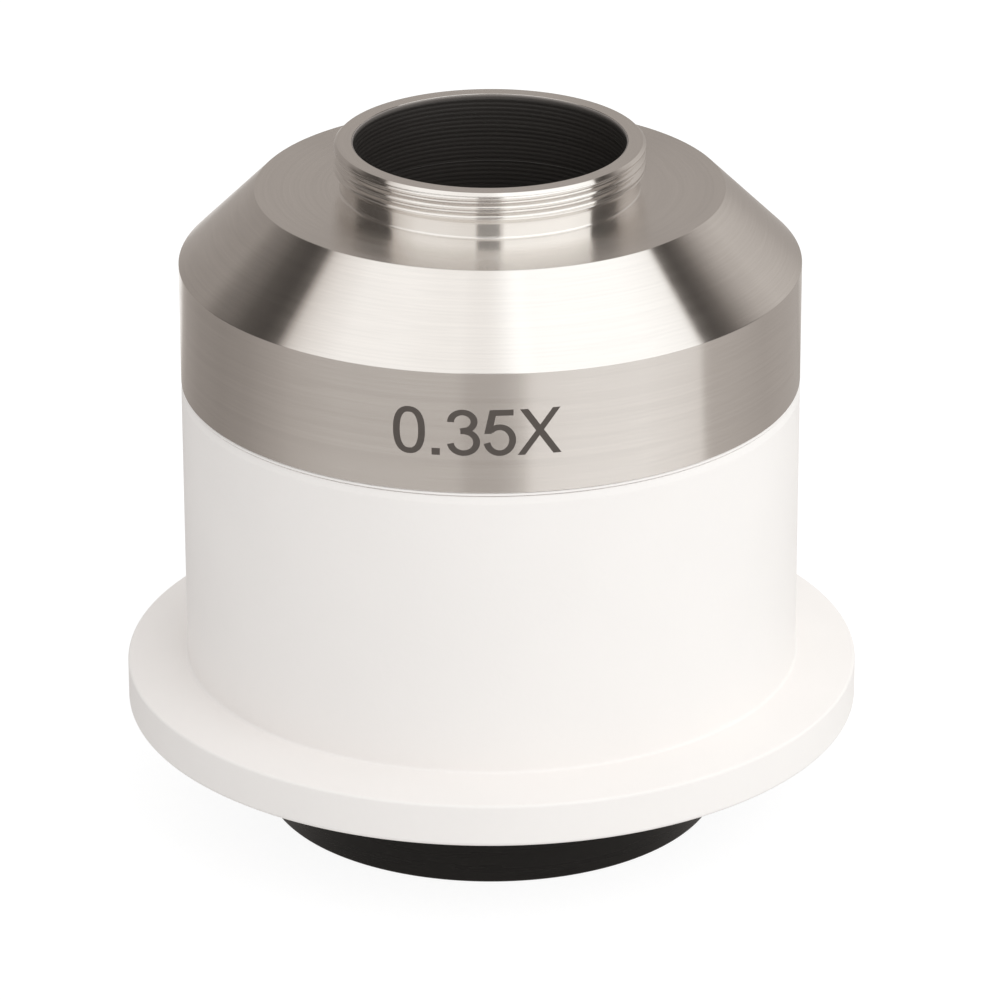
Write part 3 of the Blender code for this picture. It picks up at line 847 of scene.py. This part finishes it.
def bow(centre, reach, first, last, steps=28):
    """Points of an arc of an ellipse: centre and reach are (across, up), angles in degrees."""
    angle = np.radians(np.linspace(first, last, steps))
    return np.stack([centre[0] + reach[0] * np.cos(angle), centre[1] + reach[1] * np.sin(angle)], axis=-1)


def ring_line(centre, reach, power=2.4, steps=72):
    """Points of a rounded upright oval: |across / reach|^power + |up / reach|^power = 1."""
    angle = np.arange(steps) * TURN / steps
    across = np.sign(np.cos(angle)) * np.abs(np.cos(angle)) ** (2 / power)
    up = np.sign(np.sin(angle)) * np.abs(np.sin(angle)) ** (2 / power)
    return np.stack([centre[0] + reach[0] * across, centre[1] + reach[1] * up], axis=-1)


def figure_strokes():
    """The strokes of the figures 0.35X, each as (line, closed, pen), in shares of their height.

    Places are (across, up) from the middle of the baseline. A pen is the half width of a stroke
    across its line, or as a tuple a fixed step to either side for a straight bar.
    """
    pen = np.array([0.070, 0.060])
    nought, point, three, five, cross = (-1.680, -1.132, -0.57, 0.163, 0.970)
    waist = 0.527
    top = 0.985
    return [
        (ring_line((nought, 0.505), (0.261, 0.448)), True, pen),
        ([(point, 0.0), (point, 0.145)], False, (0.084, 0.0)),
        ([*bow((three - 0.02, 0.735), (0.235, 0.199), 184, -62), (three - 0.06, waist)], False, pen),
        ([(three - 0.06, waist), (three + 0.02, waist), *bow((three, 0.290), (0.265, 0.235), 66, -172)],
         False, pen),
        ([(five - 0.14, 0.925), (five + 0.272, 0.925)], False, (0.0, 0.063)),
        ([(five - 0.240, 0.475), (five - 0.130, top)], False, (0.075, 0.0)),
        (bow((five - 0.006, 0.334), (0.260, 0.281), 134, -168), False, pen),
        ([(cross - 0.378, 0.0), (cross + 0.336, top)], False, (0.076, 0.0)),
        ([(cross - 0.322, top), (cross + 0.355, 0.0)], False, (0.084, 0.0)),
    ]


def stroke_sides(line, closed, pen, spacing):
    """The two sides of a stroke along a line. A straight bar gets points at most spacing apart."""
    line = np.array(line)
    if not closed and len(line) == 2:
        steps = max(2, math.ceil(np.linalg.norm(line[1] - line[0]) / spacing))
        line = line[0] + np.linspace(0, 1, steps)[:, None] * (line[1] - line[0])
    if isinstance(pen, tuple):
        return line + np.array(pen), line - np.array(pen)
    if closed:
        along = np.roll(line, -1, axis=0) - np.roll(line, 1, axis=0)
    else:
        along = np.gradient(line, axis=0)
    along = along / np.linalg.norm(along, axis=1)[:, None]
    across = np.stack([-along[:, 1], along[:, 0]], axis=-1) * pen
    return line + across, line - across


class ADAPTER_OT_mark(bpy.types.Operator):
    """Reduction figures on the head's band, filled with dark ink"""

    bl_idname = "adapter.mark"
    bl_label = "Reduction mark"
    bl_options = {"REGISTER", "UNDO"}

    def execute(self, context):
        sizes = context.scene.adapter_sizes
        low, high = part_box("camera_head")
        band_r = high.x
        baseline = low.z + SKIRT_LENGTH + MARK_RISE
        shift = 0.08 * MM
        lean = math.tan(math.radians(0.6))
        front = band_r + 0.012 * MM
        back = band_r - 0.05 * MM
        all_points, all_quads = [], []
        total = 0
        for line, closed, pen in figure_strokes():
            left, right = stroke_sides(line, closed, pen, 0.2 * MM / sizes.mark_height)
            rows = len(left)
            grid = []
            for side, radius in ((left, front), (right, front), (right, back), (left, back)):
                across, up = side.T * sizes.mark_height
                angle = (across + shift) / band_r - math.pi / 2
                grid.append(np.stack([radius * np.cos(angle), radius * np.sin(angle),
                                      baseline + up + lean * across], axis=-1))
            points = np.stack(grid, axis=1).reshape(-1, 3)
            quads = grid_faces(rows, 4)
            if not closed:
                quads = quads.reshape(rows, 4, 4)[:-1].reshape(-1, 4)
                last = 4 * (rows - 1)
                ends = np.array([[0, 1, 2, 3], [last + 3, last + 2, last + 1, last]])
                quads = np.concatenate([quads, ends])
            all_points.append(points)
            all_quads.append(quads + total)
            total += len(points)
        piece = add_mesh("reduction_mark", np.concatenate(all_points), np.concatenate(all_quads),
                         finishes["ink"])
        piece.data.set_sharp_from_angle(angle=SHARP)
        place(piece, "head_group", "black_anodised")
        return {"FINISHED"}


class ADAPTER_OT_body(bpy.types.Operator):
    """White painted body with its flange, and the bored floor that guides the barrel"""

    bl_idname = "adapter.body"
    bl_label = "Body shell"
    bl_options = {"REGISTER", "UNDO"}

    def execute(self, context):
        sizes = context.scene.adapter_sizes
        low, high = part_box("body_shell")
        flange_r = high.x
        edge = sizes.edge_round
        rim_top = low.z + FLANGE_RIM
        bore_r = SKIRT_R + SKIRT_CLEARANCE
        thread_r = STUB_R + SKIRT_CLEARANCE
        top = high.z + RIM_LIFT
        corners = [
            (thread_r + CHAMFER, low.z, edge),
            (flange_r, low.z, 0.35 * MM),
            (flange_r, rim_top, 0.22 * MM),
            (BODY_R, rim_top + FLANGE_RISE, 0.28 * MM),
            (BODY_R, top - 0.95 * MM, 0.3 * MM),
            (BODY_R - 0.13 * MM, top - 0.33 * MM, 0.01 * MM),
            (BODY_R - RIM_GROOVE, top - 0.31 * MM, 0.01 * MM),
            (BODY_R - RIM_GROOVE, top - 0.26 * MM, 0.01 * MM),
            (BODY_R - RIM_STEP, top - 0.22 * MM, 0.02 * MM),
            (BODY_R - RIM_STEP, top, 0.15 * MM),
            (bore_r + CHAMFER, top, edge),
            (bore_r, high.z - CHAMFER, edge),
            (bore_r, FLOOR_TOP, 0.3 * MM),
            (FLOOR_BORE_R, FLOOR_TOP, edge),
            (FLOOR_BORE_R, FLOOR_BOTTOM, edge),
            (thread_r, FLOOR_BOTTOM, edge),
            (thread_r, low.z + CHAMFER, edge),
        ]
        piece = turned("body_white", rounded(corners), finishes["white"], FINE_STEPS)
        bush_seat = FLOOR_TOP - BUSH_LENGTH - PLAY
        for x in guide_places():
            drill(piece, finishes["white"], x, [(GUIDE_POCKET_R, FLOOR_BOTTOM - MM, bush_seat),
                                                (BUSH_SEAT_R, bush_seat, FLOOR_TOP + MM)])
        place(piece, "port_body", "white_paint", "body_shell")
        return {"FINISHED"}


class ADAPTER_OT_spigot(bpy.types.Operator):
    """Black port spigot with its fine outer ridges"""

    bl_idname = "adapter.spigot"
    bl_label = "Port spigot"
    bl_options = {"REGISTER", "UNDO"}

    def execute(self, context):
        sizes = context.scene.adapter_sizes
        low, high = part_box("port_spigot")
        shoulder = SPIGOT_LENGTH - PLAY
        edge = sizes.edge_round
        corners = [
            (SPIGOT_BORE_R + 0.2 * MM, low.z, edge),
            (high.x - 0.12 * MM, low.z, 0.05 * MM),
            (high.x, low.z + 0.12 * MM, 0.05 * MM),
            (high.x, shoulder, edge),
            (STUB_R, shoulder, edge),
            (STUB_R, high.z - CHAMFER, edge),
            (STUB_R - CHAMFER, high.z, edge),
            (SPIGOT_BORE_R, high.z, edge),
            (SPIGOT_BORE_R, low.z + 0.2 * MM, edge),
        ]
        outline = dense(dense(rounded(corners), high.x), SPIGOT_BORE_R)
        outline = dense(outline, STUB_R, 2 * THREAD_ROW)
        rings = ridges(sizes.focus_pitch, -0.06 * MM, *SPIGOT_RIDGES, high.x)
        stub = thread(sizes.focus_pitch, 0.4 * MM, shoulder, high.z, 0.5 * MM, STUB_R)
        bore = ridges(sizes.ridge_pitch, -0.1 * MM, low.z + 0.6 * MM, high.z, SPIGOT_BORE_R)
        piece = turned("spigot_black", outline, finishes["black"], FINE_STEPS, [rings, bore, stub])
        place(piece, "port_body", "black_anodised", "port_spigot")
        return {"FINISHED"}


class ADAPTER_OT_barrel(bpy.types.Operator):
    """Lens barrel, its spacer, stop and retaining ring"""

    bl_idname = "adapter.barrel"
    bl_label = "Lens barrel"
    bl_options = {"REGISTER", "UNDO"}

    def execute(self, context):
        sizes = context.scene.adapter_sizes
        low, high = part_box("lens_barrel")
        flange_top = high.z - BARREL_NOSE
        flange_low = flange_top - BARREL_FLANGE
        lip_under = high.z - LIP
        soft = 0.2 * MM
        edge = sizes.edge_round
        barrel = rounded([
            (BARREL_BORE_R + 0.3 * MM, low.z, edge),
            (BARREL_R, low.z, soft),
            (BARREL_R, flange_low, edge),
            (high.x, flange_low, edge),
            (high.x, flange_top, edge),
            (BARREL_R, flange_top, edge),
            (BARREL_R, high.z, soft),
            (CLEAR_R + LIP / 2, high.z, edge),
            (CLEAR_R, lip_under + LIP / 2, edge),
            (CLEAR_R, lip_under, 0.04 * MM),
            (BARREL_BORE_R, lip_under - seat_drop(OUTER_CURVE, LENS_R), 0.04 * MM),
            (BARREL_BORE_R, low.z + 0.3 * MM, edge),
        ])
        piece = turned("barrel_black", barrel, finishes["bore"])
        for x in guide_places():
            drill(piece, finishes["bore"], x, [(BUSH_BORE_R, flange_low - MM, flange_top + MM)])
        place(piece, "barrel_group", "matt_black", "lens_barrel")
        self.rings(sizes)
        return {"FINISHED"}

    def rings(self, sizes):
        """The three loose rings in the barrel's bore."""
        edge = sizes.edge_round
        low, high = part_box("spacer_tube")
        drop = seat_drop(INNER_CURVE, high.x)
        spacer = ring_outline(CLEAR_R, high.x, low.z, high.z, edge, drop)
        bore = ridges(sizes.ridge_pitch, -0.12 * MM, low.z, high.z - drop, CLEAR_R)
        piece = turned("spacer_ridged", dense(spacer, CLEAR_R), finishes["bore"], reliefs=[bore])
        place(piece, "barrel_group", "matt_black", "spacer_tube")

        low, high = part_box("aperture_stop")
        bevel = high.z - low.z
        stop = rounded([(STOP_HOLE_R, low.z, 0.03 * MM), (high.x, low.z, edge),
                        (high.x, high.z, edge), (STOP_HOLE_R + bevel, high.z, edge)])
        piece = turned("stop_ring", stop, finishes["bore"])
        place(piece, "barrel_group", "matt_black", "aperture_stop")

        low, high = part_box("front_retainer")
        ring = ring_outline(CLEAR_R, high.x, low.z, high.z, edge, seat_drop(OUTER_CURVE, LENS_R))
        piece = turned("retainer_ring", ring, finishes["bore"])
        notch(piece, high.x, low.z)
        place(piece, "barrel_group", "matt_black", "front_retainer")


class ADAPTER_OT_lenses(bpy.types.Operator):
    """Four lens elements of the two doublets"""

    bl_idname = "adapter.lenses"
    bl_label = "Lenses"
    bl_options = {"REGISTER", "UNDO"}

    def execute(self, context):
        def element(node, lower, upper, material, slot):
            """Glass between two spheres, each given as (radius, bend).

            The height at r is the height on the axis + bend * (radius - root(radius^2 - r^2)), so a
            bend of 1 rises towards the rim and a bend of -1 falls.
            """
            low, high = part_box(node)
            low_axis = low.z if lower[1] > 0 else low.z + sag(lower[0], high.x)
            high_axis = high.z if upper[1] < 0 else high.z - sag(upper[0], high.x)
            r = np.linspace(0, high.x, 28)
            under = np.stack([r, low_axis + lower[1] * sag(lower[0], r)], axis=-1)
            over = np.stack([r, high_axis + upper[1] * sag(upper[0], r)], axis=-1)[::-1]
            piece = capped(node + "_glass", np.concatenate([under, over]), material)
            piece.data.set_sharp_from_angle(angle=SHARP)
            place(piece, "barrel_group", slot, node)

        crown = (finishes["crown"], "crown_glass")
        flint = (finishes["flint"], "flint_glass")
        element("rear_crown", (CEMENT_CURVE, 1), (OUTER_CURVE, -1), *crown)
        element("rear_flint", (INNER_CURVE, 1), (CEMENT_CURVE, 1), *flint)
        element("front_flint", (CEMENT_CURVE, -1), (INNER_CURVE, -1), *flint)
        element("front_crown", (OUTER_CURVE, 1), (CEMENT_CURVE, -1), *crown)
        return {"FINISHED"}


class ADAPTER_OT_guides(bpy.types.Operator):
    """Guide screws and the bronze bushes that they slide in"""

    bl_idname = "adapter.guides"
    bl_label = "Guide screws and bushes"
    bl_options = {"REGISTER", "UNDO"}

    def execute(self, context):
        edge = 0.05 * MM
        for side, x in zip(("left", "right"), guide_places()):
            low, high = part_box("guide_screw_" + side)
            head_r = (high.x - low.x) / 2
            head_top = low.z + GUIDE_HEAD
            outline = rounded([
                (0.0, low.z), (head_r, low.z, 0.15 * MM), (head_r, head_top, edge),
                (GUIDE_SHANK_R, head_top, edge), (GUIDE_SHANK_R, high.z, 0.1 * MM), (0.0, high.z),
            ], closed=False)
            screw = capped("screw_" + side, outline, finishes["steel"], SMALL_STEPS, (x, 0.0))
            width, depth = SCREW_SLOT
            carve(screw, box_mesh("slot", (x - head_r - MM, -width / 2, low.z - MM),
                                  (x + head_r + MM, width / 2, low.z + depth)))
            place(screw, "barrel_group", "bright_steel", "guide_screw_" + side)

            low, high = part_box("guide_bush_" + side)
            bush_r = (high.x - low.x) / 2
            outline = ring_outline(BUSH_BORE_R, bush_r, low.z, high.z, edge)
            bush = turned("bush_" + side, outline, finishes["bronze"], SMALL_STEPS, centre=(x, 0.0))
            place(bush, "port_body", "bronze", "guide_bush_" + side)
        return {"FINISHED"}


class ADAPTER_OT_rings(bpy.types.Operator):
    """Hanger ring, wave spring, glide washer and rubber drag ring"""

    bl_idname = "adapter.rings"
    bl_label = "Rings in the head"
    bl_options = {"REGISTER", "UNDO"}

    def execute(self, context):
        sizes = context.scene.adapter_sizes
        edge = sizes.edge_round
        low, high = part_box("hanger_ring")
        ring = ring_outline(LEDGE_R, high.x, low.z, high.z, edge)
        piece = turned("hanger_black", ring, finishes["black"])
        notch(piece, high.x, low.z)
        place(piece, "head_group", "black_anodised", "hanger_ring")

        low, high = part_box("wave_spring")
        swing = (high.z - low.z - SPRING_STRIP) / 2
        middle = (low.z + high.z) / 2
        strip = ring_outline(LEDGE_R + 0.2 * MM, high.x, middle - SPRING_STRIP / 2,
                             middle + SPRING_STRIP / 2, 0.04 * MM)
        piece = turned("spring_steel", strip, finishes["steel"],
                       waves=lambda r, angle: swing * np.cos(SPRING_WAVES * angle) + 0 * r)
        place(piece, "head_group", "bright_steel", "wave_spring")

        low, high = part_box("glide_washer")
        washer = ring_outline(LEDGE_R, high.x, low.z, high.z, edge)
        piece = turned("washer_white", washer, finishes["plastic"])
        place(piece, "head_group", "white_plastic", "glide_washer")

        low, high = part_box("drag_ring")
        section_r = (high.z - low.z) / 2
        centre = np.array([high.x - section_r, (low.z + high.z) / 2])
        turn = (np.arange(24) * TURN / 24)[:, None]
        section = centre + section_r * np.concatenate([np.cos(turn), np.sin(turn)], axis=1)
        piece = turned("drag_rubber", section, finishes["rubber"])
        place(piece, "head_group", "rubber", "drag_ring")
        return {"FINISHED"}


# Stage

def degrees_ramp(tree, angle, stops):
    """A grey level by compass angle: stops are (degrees from -180 to 180, level)."""
    node = tree.nodes.new("ShaderNodeValToRGB")
    share = ramp(tree, angle, -math.pi, math.pi, kind="LINEAR")
    tree.links.new(share, node.inputs["Fac"])
    levels = node.color_ramp
    while len(levels.elements) > 1:
        levels.elements.remove(levels.elements[0])
    for k, (degrees, level) in enumerate(stops):
        position = (degrees + 180) / 360
        element = levels.elements[0] if k == 0 else levels.elements.new(position)
        element.position = position
        element.color = (level, level, level, 1.0)
    return maths(tree, "MULTIPLY", node.outputs["Color"], GLOW_TOP)


# Brightness that a level of 1 stands for in the two lists below.
GLOW_TOP = 1.6

# What the turned faces mirror of the room, by the angle of the face from the front, + to the right:
# a broad soft panel on each side of the camera, dark beside them, and a paler back wall.
WALL_LEVELS = [
    (-90, 0.21), (-72, 0.19), (-64, 0.19), (-60, 0.175), (-56, 0.112), (-52, 0.060), (-48, 0.044),
    (-41.6, 0.028), (-40.2, 0.44), (-36, 0.57), (-28, 0.68), (-18, 0.69), (-5, 0.65), (-4.2, 0.08),
    (3.4, 0.08), (4.8, 0.78), (12, 0.80), (30, 0.80), (41.0, 0.74), (42.0, 0.040), (46, 0.042),
    (50, 0.085), (56, 0.260), (60, 0.335), (66, 0.345), (76, 0.325), (90, 0.26),
]

# The same for the table top.
TABLE_LEVELS = [
    (-90, 0.70), (-85, 0.56), (-81, 0.28), (-76, 0.215), (-68, 0.178), (-58, 0.166), (-50, 0.185),
    (-40, 0.262), (-28, 0.303), (-6, 0.315), (-4, 0.265), (2, 0.27), (4.2, 0.31), (6.4, 0.38), (7.3, 0.50),
    (16, 0.55), (28, 0.565), (36, 0.515), (41, 0.475), (42.4, 0.32), (48, 0.295), (60, 0.240),
    (70, 0.252), (78, 0.27), (82, 0.26), (86, 0.34), (90, 0.38),
]

# How level the camera looks, as the cosine of the angle that it looks down, and how high it looks
# back from a flat top. Lean is how much the view turns from the middle of the object to its side.
VIEW_LEVEL = 0.9195
VIEW_RISE = 0.393
VIEW_LEAN = 0.045

# Brightness behind the object, which the flat tops mirror, and of the table under the object.
BACK_LEVEL = 0.235
NEAR_LEVEL = 0.40

# Heights, as the sine of the angle above the horizon, between which the wall's foot ends.
FOOT = (0.22, 0.31)

# Near the horizon the wall has more contrast about this level.
LOW_CONTRAST = 0.7
LOW_PIVOT = 0.62

# Colours of the room's dim parts and of its panels, and of the even light from the left and the right.
DIM_COLOUR = (1.07, 0.945, 0.855)
BRIGHT_COLOUR = (0.985, 0.985, 0.975)
LEFT_FILL = (1.01, 0.995, 0.985)
RIGHT_FILL = (0.988, 1.006, 1.0)

# Middle height of the silver band, and the share of a table point's compass angle that is about the
# angle of the face which mirrors it.
BAND_HEIGHT = 42.5 * MM
FACE_SHARE = 0.555


def face_angle(tree, direction):
    """Angle of the turned face that mirrors the camera's view to a direction.

    Brushing round the axis spreads a reflection only over directions that share this angle, so an
    edge that follows it stays crisp on every turned face.
    """
    parts = split(tree, direction)
    depth = maths(tree, "SUBTRACT", VIEW_LEVEL, parts[1])
    first = maths(tree, "ARCTAN2", parts[0], depth)
    lean = maths(tree, "MULTIPLY", maths(tree, "SINE", first), VIEW_LEAN)
    return maths(tree, "ARCTAN2", maths(tree, "SUBTRACT", parts[0], lean), depth)


def wall_levels(tree, unit):
    """Brightness of the wall, for a direction.

    High up and near the floor, the gap between the panels closes, and round the view's own mirror
    image there is only the back wall. Near the horizon the front of the wall has more contrast.
    """
    angle = face_angle(tree, unit)
    size = maths(tree, "ABSOLUTE", angle)
    depth, height = split(tree, unit)[1:3]

    def within(low, high):
        """1 where the face angle is under low degrees to either side, and 0 where it is over high."""
        return ramp(tree, size, math.radians(low), math.radians(high), 1.0, 0.0)

    ends = maths(tree, "MAXIMUM", ramp(tree, height, 0.55, 0.85), ramp(tree, height, *FOOT, 1.0, 0.0))
    closed = ramp(tree, angle, math.radians(-1), math.radians(6), 0.67 * GLOW_TOP, 0.83 * GLOW_TOP)
    wall = mixed(tree, maths(tree, "MULTIPLY", ends, within(6, 9)),
                 degrees_ramp(tree, angle, WALL_LEVELS), closed)
    low = maths(tree, "MULTIPLY", within(50, 68), ramp(tree, height, 0.40, 0.47, LOW_CONTRAST, 0.0))
    above = maths(tree, "SUBTRACT", wall, LOW_PIVOT * GLOW_TOP)
    wall = maths(tree, "ADD", wall, maths(tree, "MULTIPLY", above, low))
    wall = maths(tree, "MAXIMUM", wall, ramp(tree, height, *FOOT, 0.10 * GLOW_TOP, 0.02 * GLOW_TOP))
    away = vector_maths(tree, "DISTANCE", unit, (0.0, VIEW_LEVEL, VIEW_RISE))["Value"]
    behind = maths(tree, "MULTIPLY", ramp(tree, depth, 0.15, 0.40), within(42, 46))
    back = maths(tree, "MAXIMUM", ramp(tree, away, 0.32, 0.50, 1.0, 0.0), behind)
    return mixed(tree, back, wall, BACK_LEVEL * GLOW_TOP)


def table_levels(tree, spot):
    """Brightness of the table top, for a place on it."""
    parts = split(tree, spot)
    compass = maths(tree, "ARCTAN2", parts[0], maths(tree, "MULTIPLY", parts[1], -1.0))
    guess = maths(tree, "MULTIPLY", compass, FACE_SHARE)
    face = combined(tree, maths(tree, "MULTIPLY", maths(tree, "SINE", guess), BODY_R),
                    maths(tree, "MULTIPLY", maths(tree, "COSINE", guess), -BODY_R), BAND_HEIGHT)
    ray = vector_maths(tree, "NORMALIZE", vector_maths(tree, "SUBTRACT", spot, face)[0])[0]
    reach = vector_maths(tree, "LENGTH", spot)["Value"]
    near = ramp(tree, reach, 0.025, 0.035, 1.0, 0.0)
    table = degrees_ramp(tree, face_angle(tree, ray), TABLE_LEVELS)
    table = mixed(tree, near, table, NEAR_LEVEL * GLOW_TOP)
    return mixed(tree, ramp(tree, reach, 0.16, 0.30), table, BACK_LEVEL * GLOW_TOP)


def studio_glow_group():
    """Soft panels as a shiny face sees them: Wall is for a direction, and Table for a place."""
    tree, given, out = new_group(
        "studio_glow", [("Vector", "NodeSocketVector", None)],
        [("Wall", "NodeSocketFloat"), ("Table", "NodeSocketFloat")],
    )
    unit = vector_maths(tree, "NORMALIZE", given["Vector"])[0]
    tree.links.new(wall_levels(tree, unit), out["Wall"])
    tree.links.new(table_levels(tree, given["Vector"]), out["Table"])
    return tree


def warmed(tree, level):
    """Colour of the room's light by its level: warm where it is dim and white where it is bright."""
    return mixed_colour(tree, ramp(tree, level, 0.05, 1.25, kind="LINEAR"), DIM_COLOUR, BRIGHT_COLOUR)


def world_light(studio, glow):
    """Even light for the matt faces, panels for the shiny ones, and white behind everything."""
    world = bpy.data.worlds.new("studio_world")
    bpy.context.scene.world = world
    world.use_nodes = True
    tree = world.node_tree
    tree.nodes.clear()
    direction = tree.nodes.new("ShaderNodeTexCoord").outputs["Generated"]
    path = tree.nodes.new("ShaderNodeLightPath").outputs
    wall = group_outputs(tree, glow, direction)["Wall"]
    parts = split(tree, direction)
    side, rise = parts[0], parts[2]
    fill = ramp(tree, side, -1.0, 1.0, studio.fill * 0.70, studio.fill * 1.20, "LINEAR")
    fill = maths(tree, "MULTIPLY", fill, ramp(tree, rise, 0.0, 1.0, 1.0, 1.08, "LINEAR"))
    fill_colour = mixed_colour(tree, ramp(tree, side, -1.0, 1.0, kind="LINEAR"), LEFT_FILL, RIGHT_FILL)
    shiny = maths(tree, "MAXIMUM", path["Is Glossy Ray"], path["Is Transmission Ray"])
    seen = mixed(tree, path["Is Camera Ray"], mixed(tree, shiny, fill, wall), 1.0)
    colour = mixed_colour(tree, shiny, fill_colour, warmed(tree, wall))
    background = new_node(tree, "ShaderNodeBackground", Color=colour, Strength=seen)
    leave = tree.nodes.new("ShaderNodeOutputWorld")
    tree.links.new(background.outputs[0], leave.inputs["Surface"])


def mixed_shader(tree, share, first, second):
    """A shader that goes from first to second as share goes from 0 to 1."""
    return new_node(tree, "ShaderNodeMixShader", Fac=share, i1=first, i2=second).outputs[0]


def table_material(glow):
    """Pale table: white to the camera with a faint shadow, and lit panels to shiny faces.

    The camera sees through it from below, so that the adapter's underside can be looked at.
    """
    material = bpy.data.materials.new("table_top")
    material.use_nodes = True
    tree = material.node_tree
    tree.nodes.clear()
    path = tree.nodes.new("ShaderNodeLightPath").outputs
    table = group_outputs(tree, glow, object_place(tree))["Table"]
    plain, pale = (new_node(tree, "ShaderNodeBsdfDiffuse", Color=(grey, grey, grey, 1.0)).outputs[0]
                   for grey in (0.80, 0.16))
    white = new_node(tree, "ShaderNodeEmission", Strength=0.90).outputs[0]
    seen = new_node(tree, "ShaderNodeAddShader", i0=pale, i1=white).outputs[0]
    shiny = new_node(tree, "ShaderNodeEmission", Color=warmed(tree, table), Strength=table).outputs[0]
    top = mixed_shader(tree, path["Is Glossy Ray"], plain, shiny)
    top = mixed_shader(tree, path["Is Camera Ray"], top, seen)
    below = tree.nodes.new("ShaderNodeNewGeometry").outputs["Backfacing"]
    clear = tree.nodes.new("ShaderNodeBsdfTransparent").outputs[0]
    top = mixed_shader(tree, maths(tree, "MULTIPLY", below, path["Is Camera Ray"]), top, clear)
    leave = tree.nodes.new("ShaderNodeOutputMaterial")
    tree.links.new(top, leave.inputs["Surface"])
    return material


class ADAPTER_OT_stage(bpy.types.Operator):
    """Table, light and camera"""

    bl_idname = "adapter.stage"
    bl_label = "Stage"
    bl_options = {"REGISTER", "UNDO"}

    def execute(self, context):
        studio = context.scene.adapter_studio
        glow = studio_glow_group()
        world_light(studio, glow)
        self.table(glow)
        self.lamp(studio)
        self.camera(studio)
        context.scene.view_settings.view_transform = "Standard"
        return {"FINISHED"}

    def table(self, glow):
        """A wide flat table top, just clear of the face that the adapter stands on."""
        reach = 3.0
        level = -0.05 * MM
        mesh = bpy.data.meshes.new("table")
        corners = [(-reach, -reach, level), (reach, -reach, level), (reach, reach, level),
                   (-reach, reach, level)]
        mesh.from_pydata(corners, [], [(0, 1, 2, 3)])
        mesh.materials.append(table_material(glow))
        table = bpy.data.objects.new("table", mesh)
        bpy.context.scene.collection.objects.link(table)

    def lamp(self, studio):
        """A soft lamp above, to the right of the camera."""
        light = bpy.data.lights.new("key", "AREA")
        light.shape = "RECTANGLE"
        light.size = 0.9
        light.size_y = 0.7
        light.energy = studio.key
        lamp = bpy.data.objects.new("key", light)
        lamp.location = (0.55, -0.75, 0.85)
        lamp.rotation_euler = (math.radians(47), 0.0, math.radians(36))
        lamp.visible_glossy = False
        bpy.context.scene.collection.objects.link(lamp)

    def camera(self, studio):
        """The photograph's camera: its axes from the angles that it looks down, pans and leans."""
        down = studio.look_down
        pan = studio.pan
        roll = studio.roll
        level = math.cos(down)
        forward = np.array([math.sin(pan) * level, math.cos(pan) * level, -math.sin(down)])
        right = np.array([math.cos(pan), -math.sin(pan), 0.0])
        up = np.cross(right, forward)
        leaned_right = math.cos(roll) * right - math.sin(roll) * up
        leaned_up = math.sin(roll) * right + math.cos(roll) * up
        matrix = np.eye(4)
        matrix[:3, 0] = leaned_right
        matrix[:3, 1] = leaned_up
        matrix[:3, 2] = -forward
        matrix[:3, 3] = studio.place
        data = bpy.data.cameras.new("camera")
        data.lens = studio.lens
        data.sensor_width = 36.0
        data.clip_start = 0.01
        camera = bpy.data.objects.new("camera", data)
        bpy.context.scene.collection.objects.link(camera)
        camera.matrix_world = matrix.T.tolist()
        bpy.context.scene.camera = camera


PIECES = (
    ADAPTER_OT_finishes, ADAPTER_OT_head, ADAPTER_OT_bore, ADAPTER_OT_mark, ADAPTER_OT_body,
    ADAPTER_OT_spigot, ADAPTER_OT_barrel, ADAPTER_OT_lenses, ADAPTER_OT_guides, ADAPTER_OT_rings,
    ADAPTER_OT_stage,
)


class ADAPTER_PT_panel(bpy.types.Panel):
    """Buttons of the adapter's pieces"""

    bl_idname = "ADAPTER_PT_panel"
    bl_label = "Camera adapter"
    bl_space_type = "VIEW_3D"
    bl_region_type = "UI"
    bl_category = "Adapter"

    def draw(self, context):
        for operator in PIECES:
            self.layout.operator(operator.bl_idname)
        for group in (context.scene.adapter_sizes, context.scene.adapter_colours,
                      context.scene.adapter_studio):
            column = self.layout.column()
            for name in group.bl_rna.properties.keys()[2:]:
                column.prop(group, name)


GROUPS = {
    "adapter_sizes": AdapterSizes,
    "adapter_colours": AdapterColours,
    "adapter_studio": AdapterStudio,
}


def register():
    """Register the classes and hang the settings on the scene."""
    for group in (*GROUPS.values(), *PIECES, ADAPTER_PT_panel):
        bpy.utils.register_class(group)
    for name, group in GROUPS.items():
        setattr(bpy.types.Scene, name, bpy.props.PointerProperty(type=group))


def unregister():
    """Take it all away again."""
    for name in GROUPS:
        delattr(bpy.types.Scene, name)
    for group in (ADAPTER_PT_panel, *PIECES[::-1], *GROUPS.values()):
        bpy.utils.unregister_class(group)


def main():
    """Build every piece in order."""
    register()
    for operator in PIECES:
        getattr(bpy.ops.adapter, operator.bl_idname.split(".")[1])()


if __name__ == "__main__":
    main()
